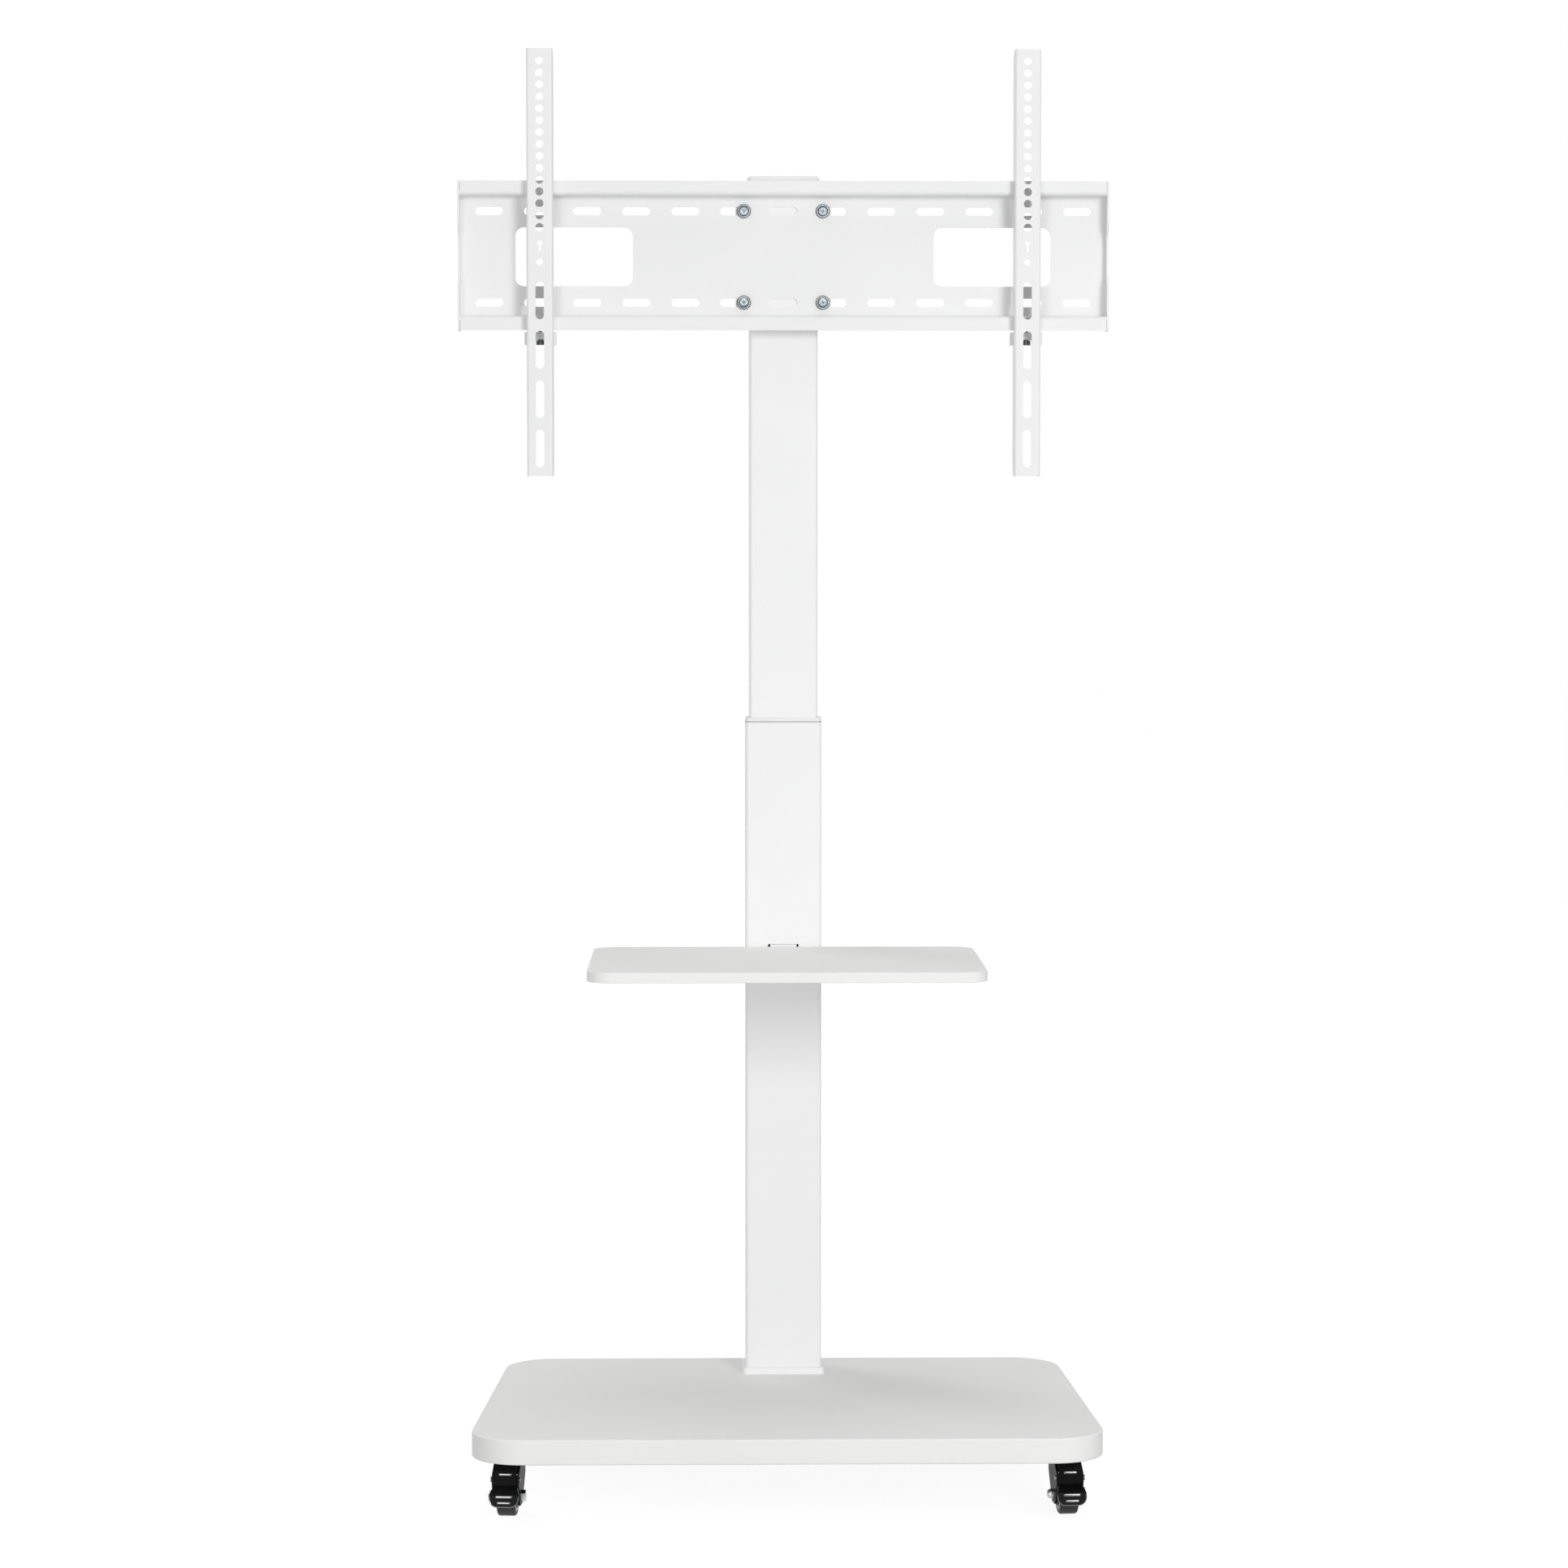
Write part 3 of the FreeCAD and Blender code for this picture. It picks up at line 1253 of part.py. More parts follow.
# Rocker pedal: boss on the pin, tab above it and a wider foot plate below
def make_pedal(corner):
    pin_y = -d.wheel_trail - d.pedal_pin_ahead
    pin_z = wheel_radius + d.pedal_pin_above
    inner_width = d.fork_inner_width - d.slide_gap * 2
    thick = d.pedal_sheet
    boss = d.pedal_boss_diameter / 2
    pedal = new_body(f"{corner.name}_pedal")
    bore = circle(0, 0, d.pedal_pin_diameter / 2 + d.running_fit)
    at_pin = (pin_y, pin_z)
    pad(pedal, sketch(pedal, "YZ", [circle(0, 0, boss)], None, at_pin), inner_width, symmetric=True)
    lean = d.pedal_tab_lean
    tab = [
        (-boss, -d.pedal_tab_drop),
        (-boss + thick, -d.pedal_tab_drop),
        (-boss + thick, d.pedal_tab_rise * crown_share),
        (-boss + thick + lean, d.pedal_tab_rise),
        (-boss + lean, d.pedal_tab_rise),
        (-boss, d.pedal_tab_rise * crown_share),
    ]
    pad(pedal, sketch(pedal, "YZ", [tab], None, at_pin), inner_width, symmetric=True)
    neck_start = -boss * neck_share
    neck = [
        (neck_start, thick - d.pedal_hood_drop),
        (-d.pedal_neck, thick - d.pedal_hood_drop),
        (-d.pedal_knee_reach, thick - d.pedal_knee_drop),
        (-d.pedal_knee_reach + thick / 2, -d.pedal_knee_drop),
        (-d.pedal_neck, -d.pedal_hood_drop),
        (neck_start, -d.pedal_tab_drop),
    ]
    pad(pedal, sketch(pedal, "YZ", [neck], None, at_pin), inner_width, symmetric=True)
    plate = [
        (-d.pedal_neck, thick - d.pedal_hood_drop),
        (-d.pedal_knee_reach, thick - d.pedal_knee_drop),
        (-d.pedal_shin_reach, -d.pedal_shin_drop),
        (-d.pedal_reach, -d.pedal_drop),
        (-d.pedal_reach + thick, -d.pedal_drop),
        (-d.pedal_shin_reach + thick, -d.pedal_shin_drop),
        (-d.pedal_knee_reach + thick / 2, -d.pedal_knee_drop),
        (-d.pedal_neck, -d.pedal_hood_drop),
    ]
    foot = pad(pedal, sketch(pedal, "YZ", [plate], None, at_pin), d.pedal_width, symmetric=True)
    tips = []
    tip_z = pin_z - d.pedal_drop
    tip_y = pin_y - d.pedal_reach + thick / 2
    for sign in (-1, 1):
        tips.append({"x": d.pedal_width / 2 * sign, "y": tip_y, "z": tip_z})
    foot = fillet(pedal, foot, edges_along(foot, "y", tips), d.pedal_corner_radius)
    folds = [
        {"x": 0, "y": pin_y - d.pedal_knee_reach, "z": pin_z + thick - d.pedal_knee_drop},
        {"x": 0, "y": pin_y - d.pedal_shin_reach, "z": pin_z - d.pedal_shin_drop},
    ]
    fillet(pedal, foot, edges_along(foot, "x", folds), d.pedal_bend_radius)
    half = d.pedal_width / 2
    shin_z = pin_z - d.pedal_shin_drop
    top_z = pin_z + thick - d.pedal_hood_drop
    wedges = []
    for sign in (-1, 1):
        narrow = (half - d.pedal_taper) * sign
        outside = (half + d.cut_overrun) * sign
        over = top_z + d.cut_overrun
        wedge = [(half * sign, shin_z), (narrow, top_z), (narrow, over), (outside, over), (outside, shin_z)]
        wedges.append(wedge)
    pocket(pedal, sketch(pedal, "XZ", wedges), symmetric=True)
    ribs = [(-boss, d.pedal_hood_rib_rise, hood_rib_share)]
    for share, width_share in zip(rib_place_shares, rib_width_shares):
        face = -d.pedal_shin_reach - (d.pedal_reach - d.pedal_shin_reach) * share
        foot_z = -d.pedal_shin_drop - (d.pedal_drop - d.pedal_shin_drop) * share - d.pedal_rib_length
        ribs.append((face, foot_z, width_share))
    for face, foot_z, width_share in ribs:
        rib = [
            (face + thick / 2, foot_z),
            (face - d.pedal_rib_height, foot_z),
            (face - d.pedal_rib_height, foot_z + d.pedal_rib_length),
            (face + thick / 2, foot_z + d.pedal_rib_length),
        ]
        pad(pedal, sketch(pedal, "YZ", [rib], None, at_pin), d.pedal_rib_width * width_share, symmetric=True)
    pocket(pedal, sketch(pedal, "YZ", [bore], None, at_pin), symmetric=True)
    place_caster(pedal, corner)

    pin = new_body(f"{corner.name}_pedal_pin")
    outer = d.fork_inner_width / 2 + d.fork_sheet
    shank = circle(0, 0, d.pedal_pin_diameter / 2)
    pad(pin, sketch(pin, "YZ", [shank], None, at_pin), outer * 2, symmetric=True)
    end = circle(0, 0, d.pedal_pin_head_diameter / 2)
    pad(pin, sketch(pin, "YZ", [end], outer, at_pin), d.pedal_pin_head_height)
    pad(pin, sketch(pin, "YZ", [end], -outer, at_pin), d.pedal_pin_head_height, back=True)
    place_caster(pin, corner)


make_base()
make_foot()
make_columns()
make_column_ends()
make_head()
make_wall_plate()
make_arm("left", -1)
make_arm("right", 1)
make_shelf()
make_caster_tops()
for corner in corners:
    make_fork(corner)
    make_wheel(corner)
    make_bearing(corner)
    if corner.braked:
        make_pedal(corner)
doc.recompute()

# Check every object, then write one file for each node
for item in doc.Objects:
    if "Invalid" in item.State or "Error" in item.State:
        raise RuntimeError(f"{item.Label} did not build: {item.State}")
os.makedirs("parts", exist_ok=True)
for node in nodes:
    if node.Shape.isNull() or not node.Shape.isValid():
        raise RuntimeError(f"{node.Label} has no valid shape")
    node.Shape.exportStep(f"parts/{node.Label}.step")
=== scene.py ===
import json
import math
import bpy
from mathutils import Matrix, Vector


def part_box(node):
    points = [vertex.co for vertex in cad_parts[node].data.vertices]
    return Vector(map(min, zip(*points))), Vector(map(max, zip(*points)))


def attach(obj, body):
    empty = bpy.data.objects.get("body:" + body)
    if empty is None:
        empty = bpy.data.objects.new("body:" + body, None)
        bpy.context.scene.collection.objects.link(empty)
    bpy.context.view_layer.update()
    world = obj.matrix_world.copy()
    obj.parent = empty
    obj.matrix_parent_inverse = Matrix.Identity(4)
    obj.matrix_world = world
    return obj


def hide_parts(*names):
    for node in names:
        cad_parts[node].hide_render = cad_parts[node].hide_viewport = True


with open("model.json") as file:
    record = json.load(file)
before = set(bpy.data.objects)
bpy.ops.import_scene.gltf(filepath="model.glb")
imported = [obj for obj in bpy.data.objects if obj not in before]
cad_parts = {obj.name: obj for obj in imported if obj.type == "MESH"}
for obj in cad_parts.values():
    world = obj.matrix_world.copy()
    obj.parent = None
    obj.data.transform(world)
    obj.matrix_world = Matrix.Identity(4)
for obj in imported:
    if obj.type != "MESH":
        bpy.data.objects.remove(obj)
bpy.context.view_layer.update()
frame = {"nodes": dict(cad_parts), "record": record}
nodes = frame["nodes"]
bpy.ops.object.select_all(action="DESELECT")
print("frame loaded:", len(nodes), "nodes")

tiny = 0.0001  # metres; places closer than this count as one
smoothAngle = 0.6  # radians; sharper edges stay crisp


class Wire:
    # one output socket of a node tree; arithmetic on it adds Math nodes
    def __init__(self, tree, socket=None):
        self.tree = tree
        self.socket = socket

    def node(self, kind, settings=None, sockets=None, out=0):
        made = self.tree.nodes.new("ShaderNode" + kind)
        for key, value in (settings or {}).items():
            if key == "stops":
                self.setStops(made.color_ramp, value)
            else:
                setattr(made, key, value)
        for key, value in (sockets or {}).items():
            self.feed(made.inputs[key], value)
        return Wire(self.tree, made.outputs[out] if made.outputs else None)

    def feed(self, entry, value):
        if isinstance(value, Wire):
            self.tree.links.new(value.socket, entry)
        else:
            entry.default_value = value

    def setStops(self, ramp, stops):
        while len(ramp.elements) < len(stops):
            ramp.elements.new(0.5)
        for element, (spot, grey) in zip(ramp.elements, stops):
            element.position = spot
            element.color = (grey, grey, grey, 1)

    def maths(self, operation, first, second=0.0):
        return self.node("Math", {"operation": operation}, {0: first, 1: second})

    def __add__(self, other):
        return self.maths("ADD", self, other)

    def __sub__(self, other):
        return self.maths("SUBTRACT", self, other)

    def __rsub__(self, other):
        return self.maths("SUBTRACT", other, self)

    def __mul__(self, other):
        return self.maths("MULTIPLY", self, other)

    __radd__ = __add__
    __rmul__ = __mul__


def noise(start, place, scale, detail=2.0, rough=0.5):
    sockets = {"Vector": place, "Scale": scale, "Detail": detail, "Roughness": rough}
    return start.node("TexNoise", {"noise_dimensions": "3D"}, sockets)


def ramp(start, value, low, high):
    return start.node("ValToRGB", {"stops": [(low, 0), (high, 1)]}, {"Fac": value})


def mixColour(start, mask, first, second):
    sockets = {"Factor": mask, 6: (*first, 1), 7: (*second, 1)}
    return start.node("Mix", {"data_type": "RGBA"}, sockets, out=2)


def newFinish(name, constants):
    material = bpy.data.materials.new(name)
    material.use_nodes = True
    tree = material.node_tree
    tree.nodes.clear()
    start = Wire(tree)
    shader = tree.nodes.new("ShaderNodeBsdfPrincipled")
    for key, value in constants.items():
        shader.inputs[key].default_value = value
    start.node("OutputMaterial", None, {"Surface": Wire(tree, shader.outputs[0])})
    place = start.node("TexCoord", out=3)  # Object coordinates, in metres
    return material, start, shader, place


def bump(start, shader, height, depth, strength):
    sockets = {"Height": height, "Distance": depth, "Strength": strength}
    start.feed(shader.inputs["Normal"], start.node("Bump", None, sockets))


def tint(start, shader, mask, look):
    colour = mixColour(start, mask, look["dull"], look["light"])
    start.feed(shader.inputs["Base Color"], colour)


# sprayed and baked coat: fine pebbled skin with a slow drift in tone
coats = {
    "whiteCoat": {"light": (0.9, 0.9, 0.9), "dull": (0.875, 0.876, 0.878), "rough": 0.4},
    "pressedCoat": {"light": (0.865, 0.865, 0.865), "dull": (0.84, 0.841, 0.843), "rough": 0.42},
}
coatSkin = {"ior": 1.5, "pebble": 850, "drift": 7, "detail": 3, "span": (0.3, 0.7),
            "spread": 0.16, "depth": 0.00005, "strength": 0.5}


def coatFinish(name, look):
    material, start, shader, place = newFinish(name, {"IOR": coatSkin["ior"]})
    pebble = noise(start, place, coatSkin["pebble"], coatSkin["detail"])
    drift = noise(start, place, coatSkin["drift"], coatSkin["detail"])
    tint(start, shader, ramp(start, drift, *coatSkin["span"]), look)
    start.feed(shader.inputs["Roughness"], look["rough"] + pebble * coatSkin["spread"])
    bump(start, shader, pebble, coatSkin["depth"], coatSkin["strength"])
    return material


# melamine-faced board: satin face with fine cells pressed into it
laminate = {"light": (0.9, 0.9, 0.895), "dull": (0.875, 0.873, 0.868), "ior": 1.48, "gloss": 0.22,
            "cell": 420, "cloud": 5, "detail": 4, "span": (0.3, 0.7), "rough": 0.58,
            "cellSpread": 0.12, "cloudSpread": 0.08, "depth": 0.00006, "strength": 0.4}


def laminateFinish(name, look):
    constants = {"IOR": look["ior"], "Specular IOR Level": look["gloss"]}
    material, start, shader, place = newFinish(name, constants)
    settings = {"feature": "SMOOTH_F1"}
    cell = start.node("TexVoronoi", settings, {"Vector": place, "Scale": look["cell"]})
    cloud = noise(start, place, look["cloud"], look["detail"])
    tint(start, shader, ramp(start, cloud, *look["span"]), look)
    rough = look["rough"] + cell * look["cellSpread"] + cloud * look["cloudSpread"]
    start.feed(shader.inputs["Roughness"], rough)
    bump(start, shader, cell, look["depth"], look["strength"])
    return material


# moulded plastic, rubber and black paint: even colour, fine grain
plastics = {
    "whitePlastic": {"light": (0.86, 0.86, 0.855), "dull": (0.83, 0.83, 0.825), "gloss": 0.5,
                     "grain": 700, "rough": 0.34, "spread": 0.14, "depth": 0.00004},
    "greyPlastic": {"light": (0.42, 0.42, 0.42), "dull": (0.36, 0.36, 0.36), "gloss": 0.5,
                    "grain": 700, "rough": 0.4, "spread": 0.14, "depth": 0.00004},
    # seamPlastic is painted shade: the dark band under the collar stands in for its shadow
    "seamPlastic": {"light": (0.2, 0.2, 0.2), "dull": (0.16, 0.16, 0.16), "gloss": 0.3,
                    "grain": 700, "rough": 0.5, "spread": 0.14, "depth": 0.00002},
    "blackCoat": {"light": (0.013, 0.013, 0.0135), "dull": (0.008, 0.008, 0.0083), "gloss": 0.025,
                  "grain": 900, "rough": 0.26, "spread": 0.14, "depth": 0.00003},
    "pedalPlastic": {"light": (0.006, 0.006, 0.0065), "dull": (0.003, 0.003, 0.0033), "gloss": 0.07,
                     "grain": 1100, "rough": 0.3, "spread": 0.14, "depth": 0.00003},
    "barPlastic": {"light": (0.02, 0.02, 0.02), "dull": (0.012, 0.012, 0.012), "gloss": 1.0,
                   "coat": 0.7, "grain": 900, "rough": 0.14, "spread": 0.06, "depth": 0.00001},
    # rimPlastic is lighter than the pedal's black: a painted highlight along the rolled rim, on top of
    # its real gloss and coat
    "rimPlastic": {"light": (0.06, 0.06, 0.06), "dull": (0.045, 0.045, 0.045), "gloss": 0.9,
                   "coat": 0.6, "grain": 900, "rough": 0.1, "spread": 0.08, "depth": 0.00002},
    "hubPlastic": {"light": (0.62, 0.62, 0.62), "dull": (0.52, 0.52, 0.525), "gloss": 0.5,
                   "grain": 800, "rough": 0.35, "spread": 0.16, "depth": 0.00003},
    "treadRubber": {"light": (0.04, 0.04, 0.041), "dull": (0.022, 0.022, 0.023), "gloss": 0.3,
                    "grain": 600, "rough": 0.42, "spread": 0.25, "depth": 0.00006},
}
mouldSkin = {"ior": 1.47, "detail": 4, "grit": 0.6, "cloud": 30, "span": (0.35, 0.65), "strength": 0.5}


def mouldedFinish(name, look):
    constants = {"IOR": mouldSkin["ior"], "Specular IOR Level": look["gloss"],
                 "Coat Weight": look.get("coat", 0.0)}
    material, start, shader, place = newFinish(name, constants)
    grain = noise(start, place, look["grain"], mouldSkin["detail"], mouldSkin["grit"])
    cloud = noise(start, place, mouldSkin["cloud"])
    tint(start, shader, ramp(start, cloud, *mouldSkin["span"]), look)
    start.feed(shader.inputs["Roughness"], look["rough"] + grain * look["spread"])
    bump(start, shader, grain, look["depth"], mouldSkin["strength"])
    return material


# plated steel: blotchy crystals under a thin bright film; edge and heart are radii on the head bolts,
# where painted shade darkens the rim of each washer and bolt head and the drive recess
metals = {
    "zinc": {"light": (0.44, 0.49, 0.51), "dull": (0.25, 0.3, 0.31), "rough": 0.2},
    "darkZinc": {"light": (0.2, 0.22, 0.21), "dull": (0.11, 0.12, 0.115), "rough": 0.32},
    "plainSteel": {"light": (0.56, 0.55, 0.54), "dull": (0.4, 0.4, 0.4), "rough": 0.36},
    # washerZinc and boltZinc: the near-black dull colour is mostly painted shade, laid toward each rim
    # and into the drive recess
    "washerZinc": {"light": (0.5, 0.55, 0.57), "dull": (0.012, 0.018, 0.02), "rough": 0.22,
                   "edge": (0.0061, 0.0068)},
    "boltZinc": {"light": (0.6, 0.68, 0.7), "dull": (0.012, 0.018, 0.02), "rough": 0.14,
                 "edge": (0.0042, 0.0049), "heart": (0.0006, 0.0024)},
    "brightZinc": {"light": (0.62, 0.64, 0.64), "dull": (0.34, 0.37, 0.37), "rough": 0.2},
}
plating = {"spangle": 900.0, "cloud": 260, "detail": 3, "span": (0.3, 0.7), "cloudShare": 0.7,
           "boltShare": 0.4, "heartShare": 0.65, "spread": 0.2, "depth": 0.00003, "strength": 0.4}

# middles of the four head bolts, mirrored about the plate's middle
washerRadius = 0.0072
headLow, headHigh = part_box("head_washers")
boltSpots = {"across": headHigh.x - washerRadius, "middle": (headLow.z + headHigh.z) / 2,
             "up": (headHigh.z - headLow.z) / 2 - washerRadius}


def boltReach(start, place):
    axes = start.node("SeparateXYZ", None, {0: place}).socket.node.outputs
    lift = Wire(start.tree, axes[2]) - boltSpots["middle"]
    side = start.maths("ABSOLUTE", Wire(start.tree, axes[0])) - boltSpots["across"]
    height = start.maths("ABSOLUTE", lift) - boltSpots["up"]
    spoke = start.node("CombineXYZ", None, {0: side, 1: height})
    return start.node("VectorMath", {"operation": "LENGTH"}, {0: spoke}, out=1)


def rise(start, reach, span):
    return ramp(start, (reach - span[0]) * (1 / (span[1] - span[0])), 0, 1)


def platedFinish(name, look):
    material, start, shader, place = newFinish(name, {"Metallic": 1.0})
    sockets = {"Vector": place, "Scale": plating["spangle"]}
    spangle = start.node("TexVoronoi", {"feature": "F1"}, sockets, out=1)
    cloud = noise(start, place, plating["cloud"], plating["detail"])
    speckle = start.node("RGBToBW", None, {0: spangle})
    share = plating["cloudShare"]
    mask = ramp(start, cloud, *plating["span"]) * share + speckle * (1 - share)
    if "edge" in look:  # painted shade towards the rim of the bolt or washer
        reach = boltReach(start, place)
        share = plating["boltShare"]
        mask = (mask * share + (1 - share)) * (1 - rise(start, reach, look["edge"]))
    if "heart" in look:  # painted shade in the drive recess
        share = plating["heartShare"]
        mask = mask * ((1 - share) + rise(start, reach, look["heart"]) * share)
    tint(start, shader, mask, look)
    start.feed(shader.inputs["Roughness"], look["rough"] + cloud * plating["spread"])
    bump(start, shader, cloud, plating["depth"], plating["strength"])
    return material


finishes = {"whiteLaminate": laminateFinish("whiteLaminate", laminate)}
for name, look in coats.items():
    finishes[name] = coatFinish(name, look)
for name, look in plastics.items():
    finishes[name] = mouldedFinish(name, look)
for name, look in metals.items():
    finishes[name] = platedFinish(name, look)

# the record's slot names are turned to the names above; a few nodes have a finish of their own
ownFinishes = {"head_washers": "washerZinc", "head_bolts": "boltZinc", "wall_plate": "pressedCoat"}
for side in ("left", "right"):
    ownFinishes["arm_" + side] = "pressedCoat"
    ownFinishes["lock_bracket_" + side] = "pressedCoat"
    ownFinishes["front_" + side + "_pedal_pin"] = "darkZinc"
    for end in ("front_", "rear_"):
        ownFinishes[end + side + "_axle"] = "brightZinc"
for part in frame["record"]["subparts"]:
    words = part["material_slot"].split("_")
    finishName = words[0] + "".join(word.title() for word in words[1:])
    finishName = ownFinishes.get(part["node"], finishName)
    for slot in nodes[part["node"]].material_slots:
        slot.material = finishes[finishName]
print("finishes made:", len(finishes))


def startPiece(name, addShape, **settings):
    bpy.ops.object.select_all(action="DESELECT")
    addShape(size=1, **settings)
    piece = bpy.context.object
    piece.name = name
    return piece


def startEdit():
    bpy.ops.object.mode_set(mode="EDIT")
    bpy.ops.mesh.select_all(action="SELECT")


def endEdit():
    bpy.ops.mesh.select_all(action="SELECT")
    bpy.ops.mesh.normals_make_consistent(inside=False)
    bpy.ops.object.mode_set(mode="OBJECT")


def selectVerts(piece, test):
    bpy.ops.mesh.select_all(action="DESELECT")
    bpy.ops.object.mode_set(mode="OBJECT")
    for corner in piece.data.vertices:
        corner.select = test(corner.co)
    bpy.ops.object.mode_set(mode="EDIT")


def applyModifier(piece, kind, settings=None):
    bpy.ops.object.modifier_add(type=kind)
    modifier = piece.modifiers[0]
    for key, value in (settings or {}).items():
        setattr(modifier, key, value)
    bpy.ops.object.modifier_apply(modifier=modifier.name)


def giveFinish(piece, finishName):
    piece.data.materials.clear()
    piece.data.materials.append(finishes[finishName])


# base board: corners rounded in plan, both rims eased, all in one sweep of even faces
baseBoard = {"frontWide": 0.632, "rearWide": 0.586, "deep": 0.42, "thick": 0.025, "ease": 0.0015,
             "frontRound": 0.05492, "rearRound": 0.04924, "cornerSteps": 28, "easeSteps": 4}


def selectRims(piece):
    bpy.ops.mesh.select_mode(type="EDGE")
    bpy.ops.mesh.select_all(action="DESELECT")
    bpy.ops.object.mode_set(mode="OBJECT")
    corners = piece.data.vertices
    for edge in piece.data.edges:
        heights = [corners[index].co.z for index in edge.vertices]
        edge.select = abs(heights[0] - heights[1]) < tiny
    bpy.ops.object.mode_set(mode="EDIT")


def boardPiece(name, plan, bottom):
    piece = startPiece(name, bpy.ops.mesh.primitive_plane_add)
    steps = plan["cornerSteps"]
    startEdit()
    bpy.ops.transform.resize(value=(plan["frontWide"], plan["deep"], 1))
    selectVerts(piece, lambda spot: spot.y > 0)
    bpy.ops.transform.resize(value=(plan["rearWide"] / plan["frontWide"], 1, 1))
    bpy.ops.mesh.bevel(offset=plan["rearRound"], segments=steps, affect="VERTICES")
    selectVerts(piece, lambda spot: spot.y < -plan["deep"] / 2 + tiny)
    bpy.ops.mesh.bevel(offset=plan["frontRound"], segments=steps, affect="VERTICES")
    bpy.ops.mesh.select_all(action="SELECT")
    bpy.ops.transform.translate(value=(0, 0, bottom))
    bpy.ops.mesh.extrude_region_move(TRANSFORM_OT_translate={"value": (0, 0, plan["thick"])})
    selectRims(piece)
    bpy.ops.mesh.bevel(offset=plan["ease"], segments=plan["easeSteps"], affect="EDGES")
    bpy.ops.mesh.select_mode(type="VERT")
    endEdit()
    bpy.ops.object.shade_smooth_by_angle(angle=smoothAngle)
    applyModifier(piece, "WEIGHTED_NORMAL")
    return piece


board = boardPiece("baseBoard", baseBoard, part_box("base_board")[0][2])
giveFinish(board, "whiteLaminate")
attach(board, "base")
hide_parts("base_board")
print("base board ready")

# painted shade: a thin dark grey band stands in for the shadow in the gap between the plastic collar
# and the steel column under it
collarSeam = {"tall": 0.0006, "proud": 0.0001, "wall": 0.0004, "round": 0.004, "steps": 6}


def shadeBandPiece(name, plan):
    low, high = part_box("lower_column")
    middle = (low + high) / 2
    piece = startPiece(name, bpy.ops.mesh.primitive_plane_add)
    startEdit()
    bpy.ops.transform.resize(value=(high.x - low.x, high.y - low.y, 1))
    bpy.ops.mesh.bevel(offset=plan["round"], segments=plan["steps"], affect="VERTICES")
    bpy.ops.mesh.delete(type="ONLY_FACE")
    bpy.ops.mesh.select_all(action="SELECT")
    bpy.ops.transform.translate(value=(middle.x, middle.y, high.z - plan["tall"]))
    bpy.ops.mesh.extrude_region_move(TRANSFORM_OT_translate={"value": (0, 0, plan["tall"])})
    endEdit()
    offset = plan["proud"] / plan["wall"] * 2 - 1  # -1 puts the wall inside the line, +1 outside
    applyModifier(piece, "SOLIDIFY", {"thickness": plan["wall"], "offset": offset})
    bpy.ops.object.shade_smooth_by_angle(angle=smoothAngle)
    return piece


seam = shadeBandPiece("collarSeam", collarSeam)
giveFinish(seam, "seamPlastic")
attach(seam, "base")
print("collar seam ready")

# brake pedals: three raised bars to press on and a rolled rim round the foot, placed from the pin
pedalBars = {
    "thick": 0.0009, "lean": 0.18, "drawIn": (0.94, 1, 0.8), "ease": 0.0003, "levels": 3,
    "bars": [
        {"wide": 0.0136, "tall": 0.003, "ahead": 0.0047, "up": 0.0061},
        {"wide": 0.0176, "tall": 0.0032, "ahead": 0.01565, "up": -0.01394},
        {"wide": 0.0142, "tall": 0.003, "ahead": 0.0166, "up": -0.0197},
    ],
}
pedalRim = {"wide": 0.0284, "tall": 0.0094, "round": 0.0078, "thick": 0.0006, "ahead": 0.01575,
            "up": -0.0191, "lean": 0.165, "cornerSteps": 8, "ringSteps": 2, "merge": 0.00001}
joints = {joint["name"]: joint for joint in frame["record"]["behaviour"]["joints"]}


def seatAtPin(piece, joint, plan, lean):
    # the pedal's own frame: pin at the middle, +X along the pin
    angle = math.atan2(joint["axis"][1], joint["axis"][0])
    pin = joint["pos_m"]
    piece.location = (pin[0] + plan["ahead"] * math.sin(angle),
                      pin[1] - plan["ahead"] * math.cos(angle), pin[2] + plan["up"])
    piece.rotation_euler = (-lean, 0, angle)
    bpy.ops.object.select_all(action="DESELECT")
    piece.select_set(True)
    bpy.context.view_layer.objects.active = piece
    bpy.ops.object.transform_apply(location=True, rotation=True, scale=True)


def barPiece(name, plan, bar):
    piece = startPiece(name, bpy.ops.mesh.primitive_cube_add)
    startEdit()
    bpy.ops.transform.resize(value=(bar["wide"], plan["thick"], bar["tall"]))
    selectVerts(piece, lambda spot: spot.y < 0)
    bpy.ops.transform.resize(value=plan["drawIn"])  # smaller front face, so the sides slope
    bpy.ops.mesh.select_all(action="SELECT")
    bpy.ops.mesh.bevel(offset=plan["ease"], segments=1, affect="EDGES")
    endEdit()
    applyModifier(piece, "SUBSURF", {"levels": plan["levels"], "render_levels": plan["levels"]})
    bpy.ops.object.shade_smooth_by_angle(angle=smoothAngle)
    return piece


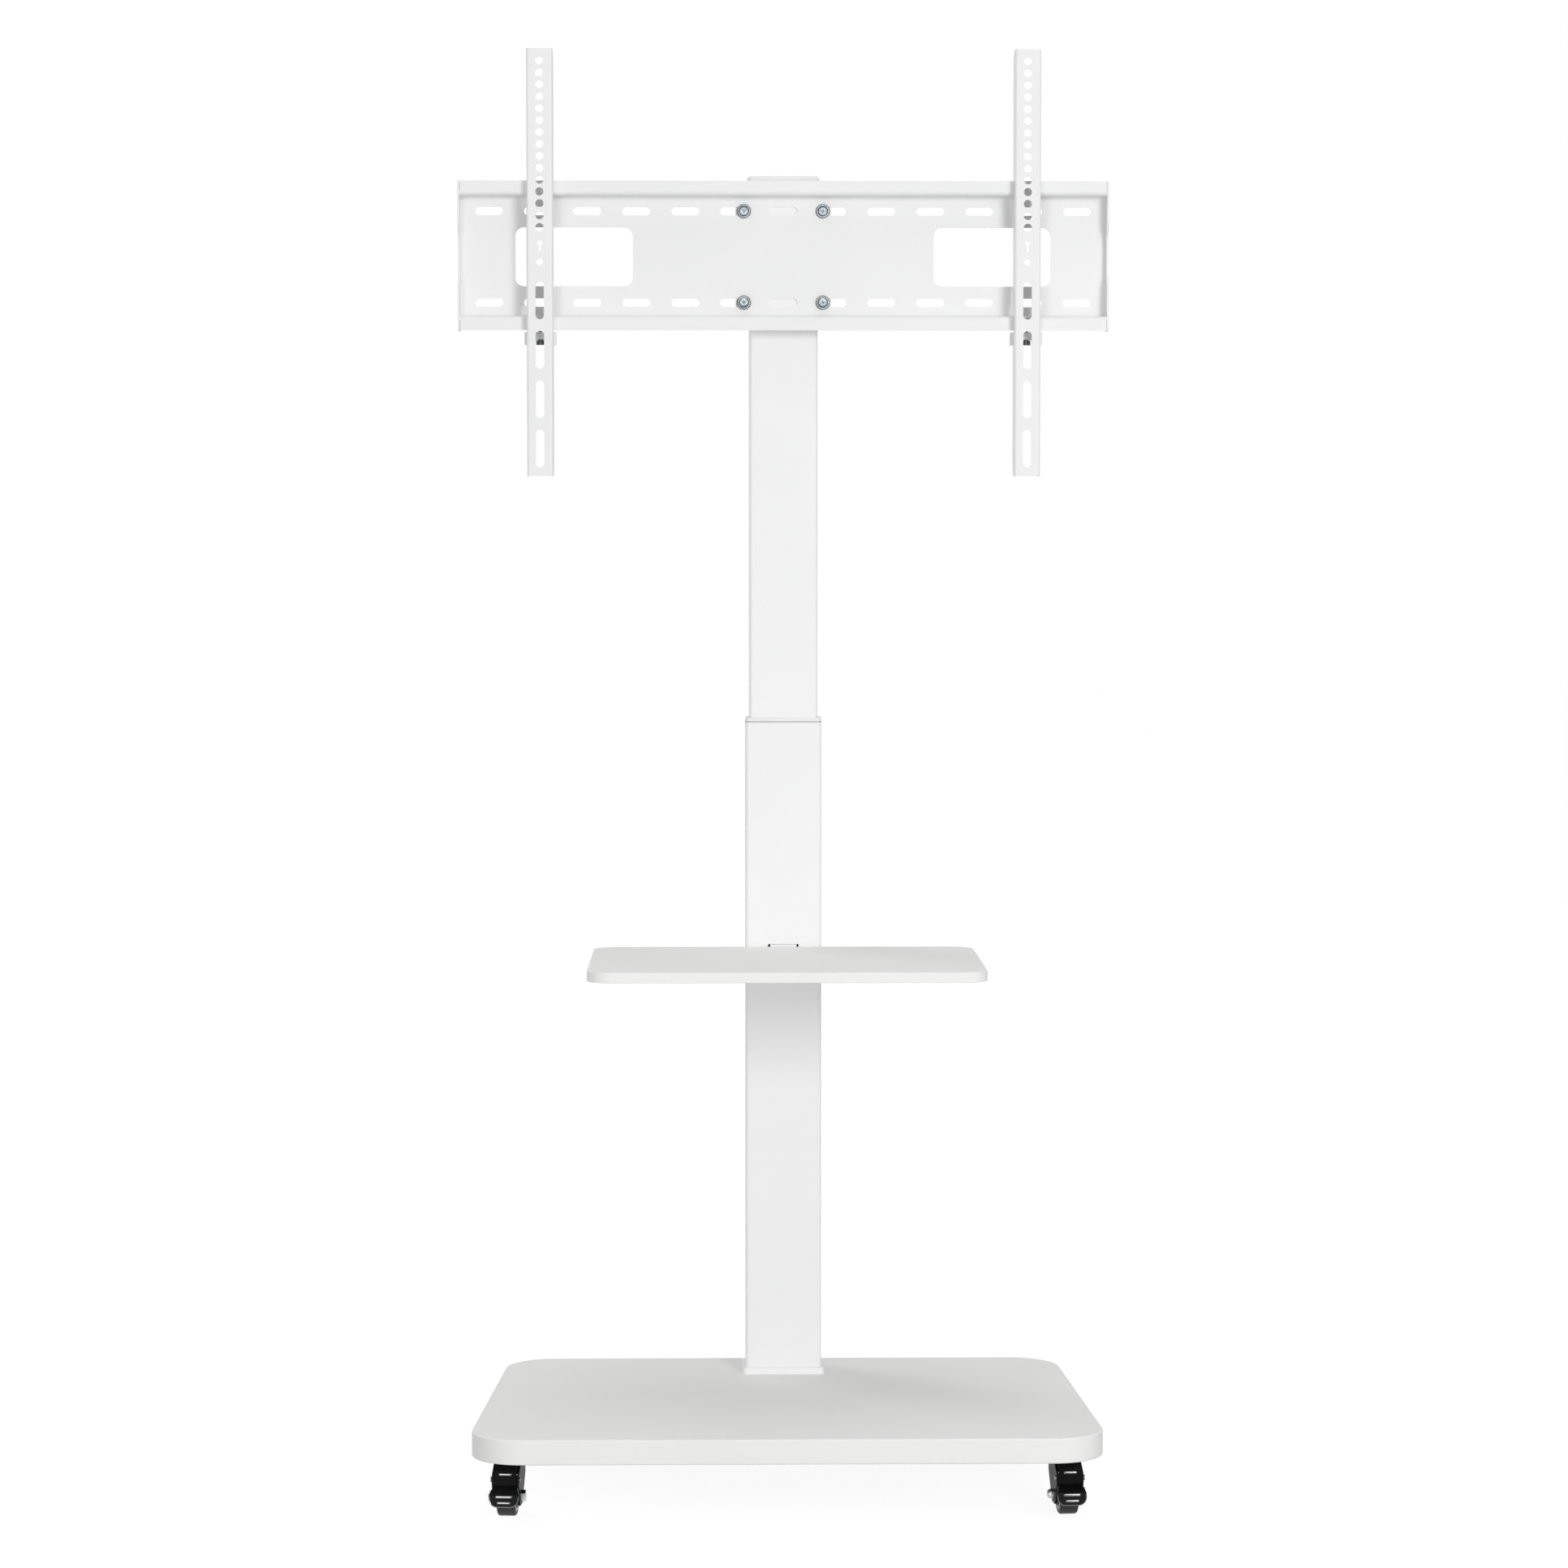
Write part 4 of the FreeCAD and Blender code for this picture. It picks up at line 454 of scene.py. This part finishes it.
def rimPiece(name, plan):
    piece = startPiece(name, bpy.ops.mesh.primitive_plane_add, rotation=(math.pi / 2, 0, 0))
    bpy.ops.object.transform_apply(location=False, rotation=True, scale=False)
    startEdit()
    bpy.ops.transform.resize(value=(plan["wide"], 1, plan["tall"]))
    bpy.ops.mesh.delete(type="ONLY_FACE")
    selectVerts(piece, lambda spot: spot.z > 0)
    bpy.ops.mesh.subdivide(number_cuts=1)
    selectVerts(piece, lambda spot: spot.z > 0 and abs(spot.x) < plan["wide"] / 4)
    bpy.ops.mesh.delete(type="VERT")  # opens the top, which leaves a U
    selectVerts(piece, lambda spot: spot.z < 0)
    bpy.ops.mesh.bevel(offset=plan["round"], segments=plan["cornerSteps"], affect="VERTICES")
    bpy.ops.object.mode_set(mode="OBJECT")
    bpy.ops.object.convert(target="CURVE")
    line = bpy.context.object.data
    line.bevel_depth = plan["thick"]
    line.bevel_resolution = plan["ringSteps"]
    line.use_fill_caps = True
    bpy.ops.object.convert(target="MESH")
    startEdit()
    bpy.ops.mesh.remove_doubles(threshold=plan["merge"])
    endEdit()
    bpy.ops.object.shade_smooth_by_angle(angle=smoothAngle)
    return bpy.context.object


for side in ("left", "right"):
    brake = joints["front_" + side + "_brake_press"]
    dressings = []
    for number, bar in enumerate(pedalBars["bars"]):
        piece = barPiece(f"pedalBar_{side}_{number + 1}", pedalBars, bar)
        dressings.append((piece, bar, pedalBars["lean"], "barPlastic"))
    rim = rimPiece("pedalRim_" + side, pedalRim)
    # the rim's lightened finish paints part of its highlight
    dressings.append((rim, pedalRim, pedalRim["lean"], "rimPlastic"))
    for piece, plan, lean, finishName in dressings:
        seatAtPin(piece, brake, plan, lean)
        giveFinish(piece, finishName)
        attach(piece, brake["child"])
print("pedal bars and rims ready")

# camera, floor and lights
cameraPlan = {"place": (-0.0667, -4.2157, 0.9396), "yaw": 0.015545, "pitch": 0.052654,
              "focus": 5085.9, "pixels": 1932, "sensor": 36, "far": 100}  # focus is in pixels
bpy.ops.object.camera_add(location=cameraPlan["place"])
camera = bpy.context.object
camera.rotation_euler = (math.pi / 2 - cameraPlan["pitch"], 0, -cameraPlan["yaw"])
camera.data.sensor_width = cameraPlan["sensor"]
camera.data.lens = cameraPlan["sensor"] * cameraPlan["focus"] / cameraPlan["pixels"]
camera.data.clip_end = cameraPlan["far"]
bpy.context.scene.camera = camera


def seenRay(start):
    path = start.node("LightPath")
    owner = path.socket.node
    kinds = ("Is Camera Ray", "Is Glossy Ray", "Is Transmission Ray")
    rays = [Wire(start.tree, owner.outputs[kind]) for kind in kinds]
    return start.maths("MINIMUM", rays[0] + rays[1] + rays[2], 1.0)


# the floor looks white where it is seen, and a thin matt share of it takes the shadow
floorPlan = {"size": 60.0, "white": (0.65, 0.65, 0.65, 1), "veil": (0.22, 0.22, 0.22, 1), "glow": 0.9}
bpy.ops.mesh.primitive_plane_add(size=floorPlan["size"], location=(0, 0, 0))
floor = bpy.context.object
floor.name = "floor"
floorFinish = bpy.data.materials.new("paleFloor")
floorFinish.use_nodes = True
floorFinish.node_tree.nodes.clear()
floorStart = Wire(floorFinish.node_tree)
matt = floorStart.node("BsdfDiffuse", None, {"Color": floorPlan["white"]})
veil = floorStart.node("BsdfDiffuse", None, {"Color": floorPlan["veil"]})
glow = floorStart.node("Emission", None, {"Strength": floorPlan["glow"]})
seen = floorStart.node("AddShader", None, {0: glow, 1: veil})
surface = floorStart.node("MixShader", None, {0: seenRay(floorStart), 1: matt, 2: seen})
floorStart.node("OutputMaterial", None, {"Surface": surface})
floor.data.materials.append(floorFinish)

# the backdrop is white where it is seen and dimmer as a light
skyPlan = {"seen": 1.0, "light": 0.44}
world = bpy.data.worlds.new("studio")
bpy.context.scene.world = world
world.use_nodes = True
world.node_tree.nodes.clear()
sky = Wire(world.node_tree)
strength = seenRay(sky) * (skyPlan["seen"] - skyPlan["light"]) + skyPlan["light"]
backdrop = sky.node("Background", None, {"Color": (1, 1, 1, 1), "Strength": strength})
sky.node("OutputWorld", None, {"Surface": backdrop})

lamps = {
    "keyLamp": {"place": (1.9, -4.85, 2.0), "aim": (0, 0, 0.8), "size": 1.5, "power": 93},
    "lowLamp": {"place": (-1.35, -4.6, 0.65), "aim": (0, 0, 0.6), "size": 0.78, "power": 26},
    "sideLamp": {"place": (1.75, -4.6, 0.72), "aim": (0, 0, 0.4), "size": 0.6, "power": 12},
    "overLamp": {"place": (0, -0.5, 8.0), "aim": (0, 0, 0), "size": 5.5, "power": 116},
    "backLamp": {"place": (-4.2, 3.6, 1.9), "aim": (0, 0, 0.7), "size": 2.2, "power": 60},
}
for lampName, plan in lamps.items():
    bpy.ops.object.light_add(type="AREA", location=plan["place"])
    lamp = bpy.context.object
    lamp.name = lampName
    lamp.data.size = plan["size"]
    lamp.data.energy = plan["power"]
    reach = [goal - spot for goal, spot in zip(plan["aim"], plan["place"])]
    flat = math.hypot(reach[0], reach[1])
    lamp.rotation_euler = (math.atan2(flat, -reach[2]), 0, math.atan2(-reach[0], reach[1]))
bpy.context.scene.view_settings.view_transform = "Standard"
print("camera, floor and lights ready")
